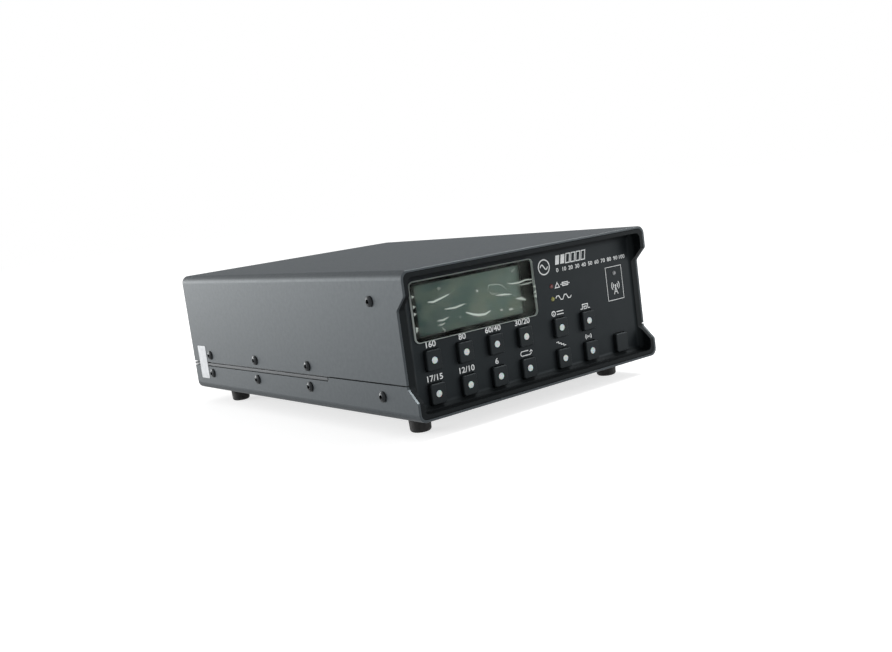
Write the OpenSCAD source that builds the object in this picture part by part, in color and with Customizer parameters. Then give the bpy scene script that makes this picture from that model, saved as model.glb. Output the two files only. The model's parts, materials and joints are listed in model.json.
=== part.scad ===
// Shortwave linear amplifier in a folded sheet case, with a moulded front of lit keys.
// Lengths are in millimetres. X is the viewer's right, Y runs from front to back, Z is up.
// The origin is the middle of the whole outline, on the plane that the feet stand on.

/* [Case] */
// Width of the case over its side sheets
case_w = 150; // [136:1:180]
// Height of the case without its feet
case_h = 66; // [60:1:80]
// Depth of the case from the tips of its ears to its rear edge
case_d = 222; // [200:1:260]
// Thickness of the folded sheets
sheet_t = 1.2; // [1:0.1:1.5]
// Outside radius of the folded edges
bend_r = 4; // [3.5:0.5:5]
// Height of the seam between the cover and the chassis, as a share of the case's height
seam_share = 0.25; // [0.24:0.005:0.265]
// Open line between two sheet edges
seam_gap = 0.6; // [0.3:0.05:0.7]
// Height of the heatsink edge that shows in the seam
strip_h = 1.9; // [1.5:0.1:2.5]

/* [Ears and face] */
// How far the ears stand in front of the waist between them
ear_reach = 6.4; // [5:0.2:8]
// Height of the lower ear's front edge
ear_low_h = 8.8; // [8:0.2:9.6]
// Height of the upper ear's front edge
ear_top_h = 11; // [9:0.5:13]
// Height that each slanted edge of the ears takes
ear_slope_h = 6.1; // [5.5:0.1:6.5]
// Radius of the ears' tips seen from the side
tip_r = 1.5; // [1:0.25:2]
// Thickness of the moulded rim in front of the face
rim_t = 2; // [1.6:0.2:2.6]
// Depth of the face behind the waist
face_sink = 0.6; // [0.4:0.1:1.2]
// Thickness of the face
face_t = 3; // [2.6:0.1:3.6]
// Radius of the hollow where the face meets its rim
cove_r = 3; // [2:0.5:4]
// Corner radius of the front recess
recess_r = 2.5; // [1.5:0.5:4]
// Wall of the moulded skirt behind the face
skirt_t = 2; // [1.6:0.2:2.4]

// Places and sizes of the keys, display and lamps hold for a case 150 wide and 66 high, and stretch with it
/* [Keys] */
// Width of a key
key_w = 8.1; // [7.6:0.1:8.6]
// Height of a key
key_h = 9.2; // [8.6:0.1:9.4]
// Open line round a key
key_gap = 0.25; // [0.2:0.05:0.4]
// How far a key stands in front of the face
key_proud = 2; // [1.5:0.1:2.5]
// How far a key travels when it is pressed
key_travel = 1; // [0.5:0.1:1.2]
// Corner radius of a key
key_corner_r = 0.9; // [0.6:0.1:1.4]
// Chamfer round the front of a key
key_edge = 0.35; // [0.2:0.05:0.6]
// Place of the left column of band keys from the centre line
band_key_x = -59.5; // [-60:0.1:-58.5]
// Distance between the columns of band keys
key_pitch_x = 17.95; // [17.6:0.05:18.4]
// Place of the left column of menu keys from the centre line
menu_key_x = 17.2; // [16.6:0.1:17.8]
// Distance between the two columns of menu keys
menu_pitch_x = 18.5; // [18:0.1:19]
// Place of the power key from the centre line
power_key_x = 56.9; // [56:0.1:58.5]
// Height of the lower row of keys above the case bottom
key_row_z = 9.85; // [9.6:0.05:10.3]
// Distance between the two rows of keys
key_pitch_z = 14.9; // [14.2:0.1:15.1]
// Width of the round light in a key
lens_d = 3; // [2.4:0.2:4.4]

/* [Display and lamps] */
// Width of the display window
window_w = 72; // [68:0.5:73]
// Height of the display window
window_h = 27; // [26:0.5:28]
// Corner radius of the display window
window_r = 2.5; // [2:0.5:4]
// How far the display window stands in front of the face
window_proud = 0.8; // [0.6:0.1:1.4]
// Chamfer round the front of the window
window_edge = 0.4; // [0.3:0.1:0.8]
// Place of the display window from the centre line
window_x = -31.25; // [-32:0.25:-30.5]
// Height of the window's centre above the case bottom
window_z = 46.5; // [46:0.25:47]
// Width of the part of the display that shows
view_w = 61.5; // [58:0.5:62.5]
// Height of the part of the display that shows
view_h = 22.7; // [21:0.1:23.5]
// Width of an indicator lamp
lamp_d = 2.2; // [1.8:0.2:2.8]
// Place of the two warning lamps from the centre line
warning_lamp_x = 15.2; // [14:0.1:16]
// Height of the upper warning lamp
warning_lamp_z = 44.8; // [44:0.2:46]
// Distance between the two warning lamps
warning_pitch = 6.1; // [5.5:0.1:7]
// Place of the transmit lamp from the centre line
transmit_lamp_x = 58.2; // [57:0.2:59]
// Height of the transmit lamp
transmit_lamp_z = 44.6; // [44:0.2:46]

/* [Heatsink] */
// Distance from the ear tips to the front end of the heatsink
sink_from = 72; // [70:1:75]
// Thickness of the heatsink's base plate
sink_base_t = 6; // [5:0.5:6.5]
// Thickness of the heatsink's side walls
sink_wall_t = 7; // [6.6:0.2:8]
// Number of fins
fin_count = 19; // [13:1:21]
// Thickness of a fin at its root
fin_root_t = 2; // [1.6:0.2:2.4]
// Thickness of a fin at its tip
fin_tip_t = 1.2; // [1:0.1:1.6]
// Gap between the fins' tips and the chassis floor
fin_gap = 2; // [1.9:0.1:3]

/* [Screws] */
// Diameter of every screw's shank
screw_d = 3; // [2.5:0.1:3]
// Length of a case screw's shank
case_screw_l = 6; // [5:0.5:6.5]
// Head diameter of a case screw
case_head_d = 5; // [4.6:0.2:5.6]
// Head height of a case screw
case_head_h = 1.5; // [1.2:0.1:1.8]
// Distance from the ear tips to the front case screws
front_screw_y = 26; // [25:0.5:27]
// Height of the upper front case screw
front_screw_z = 53.1; // [51:0.1:54]
// Height of the cover's screws above the seam
screw_above = 4.1; // [3.6:0.1:4.6]
// Depth of the chassis screws below the seam
screw_below = 6.2; // [5.8:0.1:6.6]
// Distance from the heatsink's front end to its first screws
sink_screw_inset = 17.5; // [12:0.5:20]
// Distance from the heatsink's rear end to its last screws
sink_screw_rear = 20; // [14:0.5:24]
// Number of screws along each side of the heatsink
sink_screw_count = 3; // [2:1:3]

/* [Circuit boards] */
// Thickness of every circuit board
board_t = 1.6; // [1.2:0.1:2]
// Height of a key switch in front of its board
switch_h = 4.5; // [4.2:0.1:5.5]
// Height of the spacers under the inner boards
spacer_h = 3; // [2:0.5:4]
// Distance from the heatsink's front end to the inner boards
board_inset = 5; // [4.5:0.5:8]
// Gap between the inner boards and the fans behind them
board_rear_gap = 6.5; // [5:0.5:12]
// Gap between the relays of neighbouring filter bands
band_gap = 2.4; // [1:0.1:4]

/* [Rear] */
// Thickness of the rear panel
panel_t = 1.5; // [1.2:0.1:2]
// Depth of the rear panel behind the sheets' rear edges
panel_inset = 1; // [0.5:0.1:1.5]
// Distance of the fans' inner edges from the centre line
fan_inner_x = 26; // [26:0.1:27]
// Thickness of a fan
fan_depth = 20; // [18:0.5:21]
// Gap between a fan and the heatsink's side wall
fan_side_gap = 0.8; // [0.4:0.1:2]
// Number of blades on a fan rotor
blade_count = 7; // [5:1:9]
// Distance of the antenna sockets from the centre line
socket_x = 13.2; // [13:0.1:13.5]
// Gap between the sockets' flanges and the power inlet below them
socket_rise = 0.7; // [0.4:0.1:2]
// Length of an antenna socket's threaded barrel
socket_l = 12; // [11.5:0.5:16]
// Height of the power inlet and jacks above the heatsink's base
inlet_rise = 6.2; // [6:0.1:6.4]

/* [Feet] */
// Height of the rubber feet under the case
foot_h = 8.5; // [6:0.5:12]
// Width of a foot
foot_d = 10.5; // [9:0.5:14]
// Distance of the feet from the side sheets' outside
foot_side = 15; // [12:0.5:18]
// Distance of the feet from the front and rear edges of the case
foot_inset = 22; // [16:1:24]

/* [Hidden] */
$fn = 48;
// Gap between two pieces that fit together
fit = 0.1;
// Gap round a screw in its hole
play = 0.05;
// Overshoot of a cutting shape beyond the face that it cuts
over = 1;
arc_steps = 6;

// Case size that the front's places and sizes are given for
drawn_w = 150;
drawn_h = 66;
stretch_x = case_w / drawn_w;
stretch_z = case_h / drawn_h;

half_w = case_w / 2;
inner_x = half_w - sheet_t;
mid_z = case_h / 2;
seam_z = case_h * seam_share;
screw_r = screw_d / 2;
hole_r = screw_r + play;
sheet_hole_r = screw_r + fit;
// Height of a button head's upright edge, as a share of the head's height
head_edge_share = 0.35;
hex_r = screw_r * 0.77;
pan_head_r = 2.6;
pan_head_h = 1.8;
pan_top_r = pan_head_r * 0.8;
pan_slot_w = 0.7;
pan_slot_l = pan_head_r * 1.2;
board_screw_l = 6;
// Room between the end of a screw and the end of its hole
screw_floor = 0.5;
foot_stem_r = 1.6;
foot_barb_r = foot_stem_r + 0.7;
foot_barb_h = 1.5;
foot_bore_r = 1.8;
foot_bore_l = 2;
foot_edge_r = 1.4;
foot_taper = 0.4;
foot_band = 1;
barb_taper = 1;
seam_corner_r = 0.8;

// Front, counted back from the ear tips
face_y = ear_reach + face_sink;
face_back_y = face_y + face_t;
key_flange_y = face_back_y + 0.2;
key_flange_t = 1;
key_flange = 0.9;
key_stop = 0.3;
switch_y = key_flange_y + key_flange_t + key_travel + key_stop;
board_y = switch_y + switch_h;
board_back_y = board_y + board_t;
board_edge_gap = 0.5;
skirt_y = board_back_y + board_edge_gap;
bezel_w = case_w - 2 * (sheet_t + fit);
bezel_h = case_h - 2 * (sheet_t + fit);
bezel_r = bend_r - sheet_t - fit;
recess_w = bezel_w - 2 * rim_t;
recess_h = bezel_h - 2 * rim_t;
slot_w = 3;
slot_l = 32;
slot_pitch = 8;
slot_side = 30;
slot_half_count = floor((half_w - slot_side) / slot_pitch);
slot_rear = 24;
slot_row_pitch = 38;
slot_row_count = 2;
lug_half = 5;
lug_boss_r = 4;
lug_boss_l = 4;
window_seat = 1.5;
post_r = 2.4;
post_gap = 0.5;
side_post_drop = 4;
face_screw_z = front_screw_z * stretch_z;

// Places of the keys as [X, Z]: band keys by rows, menu keys by rows, power key
key_rows = [key_row_z + key_pitch_z * stretch_z, key_row_z];
band_columns = [for (i = [0:3]) (band_key_x + i * key_pitch_x) * stretch_x];
menu_columns = [for (i = [0:1]) (menu_key_x + i * menu_pitch_x) * stretch_x];
power_column = power_key_x * stretch_x;
key_places = concat(
    [for (z = key_rows, x = band_columns) [x, z]],
    [for (z = key_rows, x = menu_columns) [x, z]],
    [[power_column, key_row_z]]);
power_place = len(key_places) - 1;
lamp_places = [
    spread(warning_lamp_x, warning_lamp_z),
    spread(warning_lamp_x, warning_lamp_z - warning_pitch),
    spread(transmit_lamp_x, transmit_lamp_z)];
window_place = spread(window_x, window_z);
pane_w = window_w * stretch_x;
pane_h = window_h * stretch_z;

// Places of the posts that hold the control board as [X, Z]
side_post_x = bezel_w / 2 - skirt_t - post_r - post_gap;
top_post_z = case_h - sheet_t - fit - skirt_t - pan_head_r - post_gap;
side_post_z = (key_rows[0] + window_place.y) / 2 - side_post_drop;
key_mid_z = (key_rows[0] + key_rows[1]) / 2;
post_places = [
    [-side_post_x, top_post_z],
    [side_post_x, top_post_z],
    [-side_post_x, side_post_z],
    [side_post_x, side_post_z],
    [(band_columns[1] + band_columns[2]) / 2, key_mid_z],
    [(band_columns[3] + menu_columns[0]) / 2, key_mid_z],
    [(menu_columns[1] + power_column) / 2, key_mid_z]];

// Key parts
lens_r = lens_d / 2;
lens_head_l = 2;
lens_tail_r = 0.8;
stem = 3.2;
stem_reach = 1.5;
stem_play = 0.4;
switch_w = 7;
switch_corner_r = 0.6;
switch_well = stem_reach + key_travel + stem_play;
key_front_y = face_y - key_proud;
stem_end_y = switch_y + stem_reach;

// Display
display_border = 1.8;
display_shift = 1.3;
display_place = spread(window_x - display_shift, window_z);
display_corner_r = 1;
shown_w = view_w * stretch_x;
shown_h = view_h * stretch_z;
shown_corner_r = 0.5;
display_w = shown_w + 2 * display_border;
display_h = shown_h + 2 * display_border;
glass_t = 2.4;
glass_inset = 0.4;

// Lamps
dome_h = 0.4;
dome_taper = 0.3;
lamp_flange = 0.6;

// Heatsink
sink_base_z = seam_z - strip_h;
sink_top_z = sink_base_z + sink_base_t;
wall_margin = 4;
wall_low_z = seam_z - screw_below - wall_margin;
wall_high_z = seam_z + screw_above + wall_margin;
low_screw_z = seam_z - screw_below;
high_screw_z = seam_z + screw_above;
fin_span = 2 * (inner_x - sink_wall_t) - fin_root_t;
fin_pitch = fin_span / (fin_count + 1);
panel_y = case_d - panel_inset - panel_t;
panel_out_y = panel_y + panel_t;
fan_y = panel_y - fan_depth;
sink_screw_pitch = (panel_y - sink_from - sink_screw_inset - sink_screw_rear) / (sink_screw_count - 1);

// Places of the screws in each side as [Y, Z]
cover_screws = concat([[front_screw_y, face_screw_z]],
    [for (i = [0:sink_screw_count - 1]) [sink_screw_y(i), high_screw_z]]);
chassis_screws = concat([[front_screw_y, low_screw_z]],
    [for (i = [0:sink_screw_count - 1]) [sink_screw_y(i), low_screw_z]]);
sink_screws = [for (z = [low_screw_z, high_screw_z], i = [0:sink_screw_count - 1]) [sink_screw_y(i), z]];
panel_screws_z = [low_screw_z, high_screw_z];
panel_screw_x = inner_x - sink_wall_t / 2;

// Inner boards
inner_board_z = sink_top_z + spacer_h;
inner_top_z = inner_board_z + board_t;
inner_board_y = sink_from + board_inset;
board_l = fan_y - board_rear_gap - inner_board_y;
board_gap = 1.5;
inner_board_w = inner_x - sink_wall_t - 2 * board_gap;
board_centre_x = (inner_x - sink_wall_t) / 2;
board_hole_inset = 4;
spacer_r = 2.5;
device_l = 24;
device_w = 9;
device_pitch = 14;
device_y = inner_board_y + board_l / 2;
device_window_gap = 1;
toroid_r = 6.4;
toroid_hole_r = 3.8;
toroid_t = 5;
toroid_gap = 2;
relay_gap = 1;
band_count = 6;
// Length of the board's ends that the filter bands leave to its screws
band_margin = board_hole_inset + pan_head_r + 0.3;
band_pitch = (board_l - 2 * band_margin + band_gap) / band_count;
relay_size = [10, band_pitch - band_gap, 12.5];
device_t = 1.6;
device_lid = [12, 3.4];
device_hole_inset = 3;
board_screw_depth = 4;
core = [26, 30, 13];
core_soft = 0.5;
core_rear_gap = 2.5;
small_core_share = 0.6;
small_core_y = 14;
// Each core as [size as a share, place along the board from its front]
cores = [[1, board_l - core.y - core_rear_gap], [small_core_share, small_core_y]];
can_r = 6.25;
can_h = 20;
can_groove_z = 1.6;
can_groove_h = 0.8;
can_groove = 0.4;
can_places = [0.33, 0.3];
cable_w = 18;
cable_t = 1;
cable_sag = 4;
cable_steps = 12;
header_inset = 2;
header_size = [24, 5, 8];
header_x = -board_centre_x;

// Rear
fan_gap = 1;
fan_top_gap = 1.6;
fan_room_w = inner_x - sink_wall_t - fan_side_gap - fan_inner_x;
fan_room_h = case_h - sheet_t - fit - panel_t - fan_top_gap - fan_gap - sink_top_z;
fan_size = min(fan_room_w, fan_room_h);
fan_x = inner_x - sink_wall_t - fan_side_gap - fan_size / 2;
fan_z = sink_top_z + fan_gap + fan_size / 2;
fan_hole = fan_size * 0.4;
duct_r = fan_size / 2 - 1.3;
hub_r = fan_size / 4;
hub_l = fan_depth * 0.6;
blade_r = duct_r - 0.6;
shaft_r = 1;
shaft_boss_r = 3;
shaft_floor = 1;
fan_rim = 3;
fan_corner_r = 3;
fan_wall = 1;
spoke = 2.5;
hub_rise = 1;
hub_wall = 1.5;
hub_back = 4;
blade_t = 1;
blade_l = hub_l * 1.2;
blade_tilt = 38;
blade_inset = 0.5;
fan_screw_l = 8;
grille_step = 4.5;
grille_slot = 3;
grille_bar = 2;
flange_corner_r = 2;
socket_flange = 25.4;
socket_flange_t = 2;
socket_hole = 9.1;
barrel_r = 7.9;
mouth_r = 6.3;
mouth_l = 5.5;
insulator_r = mouth_r - 0.4;
socket_tail_l = 9;
socket_tail_r = barrel_r - 1;
contact_r = 2.8;
contact_bore_r = 2;
contact_tail_l = 4;
insulator_l = socket_tail_l + panel_t + socket_flange_t + socket_l - mouth_l;
inlet_z = sink_top_z + inlet_rise;
inlet_x = -11;
inlet_size = [21.4, 10.8];
inlet_corner_r = 2;
inlet_flange = [1.2, 0.4];
inlet_flange_t = 1.5;
inlet_wall = 1.3;
inlet_floor = 1;
inlet_l = 10;
inlet_tail_l = 12;
pin_r = 2.2;
pin_x = 5.4;
pin_tail_l = 16;
pin_sink = 1.5;
socket_z = inlet_z + inlet_size.y / 2 + inlet_flange.y + socket_rise + socket_flange / 2;
jack_x = [7.5, 18.5];
jack_r = 1.8;
jack_collar_r = 3;
jack_collar_l = 4.5;
jack_nut_r = 4.6;
jack_nut_t = 2;
jack_body = [8, 12, 9];
jack_floor = 2;
post_z = sink_base_z + sink_base_t / 2;
post_stud_r = 2;
post_stud_l = 11;
post_floor = 1;
post_reach = 10;
post_washer_r = 4.5;
post_washer_t = 1;
post_nut_r = 4.04;
post_nut_t = 2.5;
wing_r = 4.2;
wing_taper = 1;
wing_root_r = 2.5;
wing_rise = 1;
wing_l = 4.5;
wing_size = [6.5, 1.8, 4];
wing_tilt = 25;
panel_lip = 8;
rear_reach = socket_flange_t + socket_l - panel_inset;
front_y = -(case_d + rear_reach) / 2;

function spread(x, z) = [x * stretch_x, z * stretch_z];
function sink_screw_y(i) = sink_from + sink_screw_inset + i * sink_screw_pitch;
function unit(v) = v / norm(v);

// Arc of radius r that rounds the corner b between the points a and c
function corner_arc(a, b, c, r) =
    let (to_a = unit(a - b), to_c = unit(c - b), half = acos(to_a * to_c) / 2)
    let (centre = b + unit(to_a + to_c) * r / sin(half))
    let (p = b + to_a * r / tan(half) - centre, q = b + to_c * r / tan(half) - centre)
    let (from = atan2(p.y, p.x), turn = (atan2(q.y, q.x) - from + 540) % 360 - 180)
    [for (i = [0:arc_steps]) centre + r * [cos(from + turn * i / arc_steps), sin(from + turn * i / arc_steps)]];

// Outline through corners given as [x, y, radius]
function soft_outline(corners) =
    let (n = len(corners), xy = [for (c = corners) [c.x, c.y]])
    [for (i = [0:n - 1]) each corners[i].z > 0
        ? corner_arc(xy[(i + n - 1) % n], xy[i], xy[(i + 1) % n], corners[i].z)
        : [xy[i]]];

// Side outline of the case front, with its waist between two ears
function ear_outline(low, high, back, corner) = soft_outline([
    [back, low, 0],
    [0, low, corner],
    [0, ear_low_h, tip_r],
    [ear_reach, ear_low_h + ear_slope_h, tip_r],
    [ear_reach, case_h - ear_top_h - ear_slope_h, tip_r],
    [0, case_h - ear_top_h, tip_r],
    [0, high, corner],
    [back, high, 0]]);

// Moves a shape from case coordinates, counted from the ear tips and the case bottom
module at_case() {
    translate([0, front_y, foot_h]) children();
}

// Extrudes a (Y, Z) outline along X, centred
module along_x(length) {
    rotate([90, 0, 90]) linear_extrude(length, center = true) children();
}

// Extrudes an (X, Z) outline from y for a length
module along_y(y, length) {
    translate([0, y + length, 0]) rotate([90, 0, 0]) linear_extrude(length) children();
}

// Lays a shape that is turned about Z down, so that it runs along +Y from the given place
module facing_back(x, y, z) {
    translate([x, y, z]) rotate([-90, 0, 0]) children();
}

module rounded_rect(w, h, r) {
    square([w - 2 * r, h], center = true);
    square([w, h - 2 * r], center = true);
    for (x = [-1, 1], y = [-1, 1]) translate([x * (w / 2 - r), y * (h / 2 - r)]) circle(r);
}

// Plate with rounded corners and a chamfer round its front, from y = 0 back to y = t
module soft_plate(w, h, r, t, edge) {
    along_x(w - 2 * r) polygon([[0, edge - h / 2], [edge, -h / 2], [t, -h / 2],
        [t, h / 2], [edge, h / 2], [0, h / 2 - edge]]);
    linear_extrude(h - 2 * r, center = true) polygon([[edge - w / 2, 0], [-w / 2, edge], [-w / 2, t],
        [w / 2, t], [w / 2, edge], [w / 2 - edge, 0]]);
    for (x = [-1, 1], z = [-1, 1]) facing_back(x * (w / 2 - r), 0, z * (h / 2 - r)) {
        cylinder(r1 = r - edge, r2 = r, h = edge);
        translate([0, 0, edge]) cylinder(r = r, h = t - edge);
    }
}

// Runs its children at each place in both side sheets, pointing out of the case
module on_sides(places, x) {
    for (s = [-1, 1], p = places) translate([s * x, p.x, p.y]) rotate([0, s * 90, 0]) children();
}

// Screw with its seat at z = 0, its head above and its shank below
module button_screw() {
    edge_h = case_head_h * head_edge_share;
    rise = case_head_h - edge_h;
    dome_r = (pow(case_head_d / 2, 2) + rise * rise) / (2 * rise);
    difference() {
        union() {
            translate([0, 0, -case_screw_l]) cylinder(r = screw_r, h = case_screw_l + edge_h);
            rotate_extrude() intersection() {
                translate([0, case_head_h - dome_r]) circle(dome_r);
                square([case_head_d / 2, case_head_h]);
            }
        }
        translate([0, 0, edge_h / 2]) cylinder(r = hex_r, h = case_head_h, $fn = 6);
    }
}

module pan_screw(length) {
    difference() {
        union() {
            translate([0, 0, -length]) cylinder(r = screw_r, h = length + pan_head_h / 2);
            cylinder(r1 = pan_head_r, r2 = pan_top_r, h = pan_head_h);
        }
        for (a = [0, 90]) rotate([0, 0, a]) translate([-pan_slot_l / 2, -pan_slot_w / 2, pan_head_h / 2])
            cube([pan_slot_l, pan_slot_w, pan_head_h]);
    }
}

module sheet_ring() {
    translate([0, mid_z]) difference() {
        rounded_rect(case_w, case_h, bend_r);
        rounded_rect(case_w - 2 * sheet_t, case_h - 2 * sheet_t, bend_r - sheet_t);
    }
}

// Folded sheet round the whole case, with the ears cut into its front
module case_tube() {
    intersection() {
        along_y(0, case_d) sheet_ring();
        along_x(case_w + 2 * over) polygon(ear_outline(0, case_h, case_d, tip_r / 2));
    }
}

module top_cover() color("#2b2c2e") at_case() difference() {
    case_tube();
    translate([-case_w, -over, -over]) cube([2 * case_w, case_d + 2 * over, seam_z + over]);
    on_sides(cover_screws, half_w - sheet_t - over) cylinder(r = sheet_hole_r, h = sheet_t + 2 * over);
}

module lower_chassis() color("#2b2c2e") at_case() difference() {
    case_tube();
    along_x(case_w + 2 * over) polygon(soft_outline([
        [-over, seam_z - seam_gap, 0],
        [sink_from - seam_gap, seam_z - seam_gap, 0],
        [sink_from - seam_gap, sink_base_z - seam_gap, seam_corner_r],
        [case_d + over, sink_base_z - seam_gap, 0],
        [case_d + over, case_h + over, 0],
        [-over, case_h + over, 0]]));
    on_sides(chassis_screws, half_w - sheet_t - over) cylinder(r = sheet_hole_r, h = sheet_t + 2 * over);
    foot_places() translate([0, 0, -over]) cylinder(r = foot_stem_r + fit, h = sheet_t + 2 * over);
    intake_slots();
}

// Round-ended slots in the chassis floor, under the rear half of the fins
module intake_slots() {
    for (row = [0:slot_row_count - 1], i = [-slot_half_count:slot_half_count])
        translate([i * slot_pitch, case_d - slot_rear - slot_l - row * slot_row_pitch, -over])
            linear_extrude(sheet_t + 2 * over) {
                translate([-slot_w / 2, slot_w / 2]) square([slot_w, slot_l - slot_w]);
                for (y = [slot_w / 2, slot_l - slot_w / 2]) translate([0, y]) circle(slot_w / 2);
            }
}

// Quarter hollow along X, with its corner at the origin, towards -Y and +Z
module cove(length) {
    difference() {
        along_x(length) translate([-cove_r, 0]) square([cove_r + over, cove_r]);
        translate([0, -cove_r, cove_r]) rotate([0, 90, 0]) cylinder(r = cove_r, h = length + over, center = true);
    }
}

module front_coves() {
    translate([0, face_y, mid_z]) for (turn = [0, 90, 180, 270]) rotate([0, turn, 0]) {
        across = turn % 180 == 0 ? recess_w : recess_h;
        reach = turn % 180 == 0 ? recess_h / 2 : recess_w / 2;
        translate([0, 0, -reach]) cove(across);
    }
}

module front_bezel() color("#1d2022") at_case() {
    difference() {
        union() {
            bezel_shell();
            for (p = post_places) along_y(face_back_y - over, board_y - face_back_y + over)
                translate(p) circle(post_r);
            bezel_lugs();
        }
        for (p = key_places) along_y(face_y - over, face_t + 2 * over) translate(p)
            rounded_rect(key_w + 2 * key_gap, key_h + 2 * key_gap, key_corner_r);
        for (p = lamp_places) along_y(face_y - over, face_t + 2 * over) translate(p)
            circle(lamp_d / 2 + play);
        along_y(face_y - over, window_seat + over) translate(window_place)
            rounded_rect(pane_w + 2 * fit, pane_h + 2 * fit, window_r + fit);
        along_y(face_y, face_t + over) translate(display_place) rounded_rect(shown_w, shown_h, shown_corner_r);
        for (p = post_places) facing_back(p.x, board_y - board_screw_l, p.y)
            cylinder(r = hole_r, h = board_screw_l + over);
        for (z = [low_screw_z, face_screw_z]) on_sides([[front_screw_y, z]], inner_x - 2 * lug_boss_l)
            cylinder(r = hole_r, h = 3 * lug_boss_l);
        foot_places() cylinder(r = foot_barb_r + fit, h = sheet_t + fit + skirt_t + over);
    }
}

module bezel_shell() {
    difference() {
        intersection() {
            along_y(0, skirt_y) translate([0, mid_z]) rounded_rect(bezel_w, bezel_h, bezel_r);
            along_x(bezel_w + 2 * over)
                polygon(ear_outline(sheet_t + fit, case_h - sheet_t - fit, skirt_y, tip_r / 3));
        }
        difference() {
            along_y(-over, face_y + over) translate([0, mid_z]) rounded_rect(recess_w, recess_h, recess_r);
            front_coves();
        }
        along_y(face_back_y, skirt_y) translate([0, mid_z])
            rounded_rect(bezel_w - 2 * skirt_t, bezel_h - 2 * skirt_t, bezel_r);
    }
}

// Lugs behind the skirt that the front case screws hold
module bezel_lugs() {
    for (s = [-1, 1], z = [low_screw_z, face_screw_z]) {
        translate([s * (bezel_w - skirt_t) / 2, (skirt_y + front_screw_y + lug_half) / 2 - over, z])
            cube([skirt_t, front_screw_y + lug_half - skirt_y + 2 * over, 2 * lug_half], center = true);
        translate([s * (bezel_w / 2 - (skirt_t + lug_boss_l) / 2), front_screw_y, z]) rotate([0, 90, 0])
            cylinder(r = lug_boss_r, h = skirt_t + lug_boss_l, center = true);
    }
}

module display_window() color("#5c6f6a", 0.35) at_case()
    translate([window_place.x, face_y - window_proud, window_place.y])
        soft_plate(pane_w, pane_h, window_r, window_proud + window_seat, window_edge);

module display_frame() color("#9a9c9e") at_case() difference() {
    along_y(face_back_y, board_y - face_back_y) translate(display_place)
        rounded_rect(display_w, display_h, display_corner_r);
    along_y(face_back_y - over, glass_inset + glass_t + fit + over) translate(display_place)
        square([display_w - display_border, display_h - display_border], center = true);
}

module display_glass() color("#55665c") at_case()
    along_y(face_back_y + glass_inset, glass_t) translate(display_place)
        square([display_w - display_border - 2 * fit, display_h - display_border - 2 * fit], center = true);

module control_board() color("#20502e") at_case() difference() {
    along_y(board_y, board_t) translate([0, mid_z])
        rounded_rect(bezel_w - 2 * (skirt_t + board_edge_gap), bezel_h - 2 * (skirt_t + board_edge_gap), bezel_r);
    for (p = post_places) facing_back(p.x, board_y - over, p.y) cylinder(r = sheet_hole_r, h = board_t + 2 * over);
    for (s = [-1, 1], z = [low_screw_z, face_screw_z])
        translate([s * (bezel_w / 2 - skirt_t - lug_boss_l / 2), board_y + board_t / 2, z])
            cube([lug_boss_l + over, board_t + 2 * over, 2 * (lug_boss_r + board_edge_gap)], center = true);
}

module key_switches() color("#1b1b1b") at_case() for (p = key_places) difference() {
    along_y(switch_y, switch_h) translate(p) rounded_rect(switch_w, switch_w, switch_corner_r);
    along_y(switch_y - over, switch_well + over) translate(p) square(stem + stem_play, center = true);
}

// Indicator with a round head in the face and a wider body against the board
module lamp(place) {
    facing_back(place.x, face_y, place.y) {
        translate([0, 0, -dome_h]) cylinder(r1 = lamp_d / 2 - dome_taper, r2 = lamp_d / 2, h = dome_h);
        cylinder(r = lamp_d / 2, h = face_t + over);
        translate([0, 0, face_t + play]) cylinder(r = lamp_d / 2 + lamp_flange, h = board_y - face_back_y - play);
    }
}

module fault_lamp() color("#c8281e") at_case() lamp(lamp_places[0]);
module overdrive_lamp() color("#c9c02c") at_case() lamp(lamp_places[1]);
module transmit_lamp() color("#cfd2d2") at_case() lamp(lamp_places[2]);

module key_cap(place) {
    translate([place.x, key_front_y, place.y])
        soft_plate(key_w, key_h, key_corner_r, key_flange_y + play - key_front_y, key_edge);
    along_y(key_flange_y, key_flange_t) translate(place)
        rounded_rect(key_w + 2 * key_flange, key_h + 2 * key_flange, key_corner_r);
    along_y(key_flange_y, stem_end_y - key_flange_y) translate(place) square(stem, center = true);
}

module lit_key(i) color("#202325") at_case() difference() {
    key_cap(key_places[i]);
    facing_back(key_places[i].x, key_front_y - over, key_places[i].y) {
        cylinder(r = lens_r + play, h = lens_head_l + over);
        cylinder(r = lens_tail_r + play, h = stem_end_y - key_front_y + 2 * over);
    }
}

module power_key() color("#202325") at_case() key_cap(key_places[power_place]);

// Light guide of a key, with its lit head flush with the key's front
module key_lens(i) color("#e8eaea") at_case()
    facing_back(key_places[i].x, key_front_y, key_places[i].y) {
        cylinder(r = lens_r, h = lens_head_l);
        cylinder(r = lens_tail_r, h = stem_end_y - key_front_y);
    }

module heatsink_profile() {
    translate([-inner_x, sink_base_z]) square([2 * inner_x, sink_base_t]);
    for (s = [-1, 1]) translate([s * (inner_x - sink_wall_t / 2), (wall_low_z + wall_high_z) / 2])
        square([sink_wall_t, wall_high_z - wall_low_z], center = true);
    for (i = [1:fin_count]) translate([i * fin_pitch - fin_span / 2, 0]) polygon([
        [-fin_tip_t / 2, sheet_t + fin_gap], [fin_tip_t / 2, sheet_t + fin_gap],
        [fin_root_t / 2, sink_base_z + over], [-fin_root_t / 2, sink_base_z + over]]);
}

// Heatsink edge in the seam of both sides, from one Y to another and so deep behind the sheets
module side_strips(from, to, deep) {
    for (s = [-1, 1]) along_y(from, to - from)
        translate([s * (half_w - (sheet_t + deep) / 2), sink_base_z + (strip_h - seam_gap) / 2])
            square([sheet_t + deep, strip_h - seam_gap], center = true);
}

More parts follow.
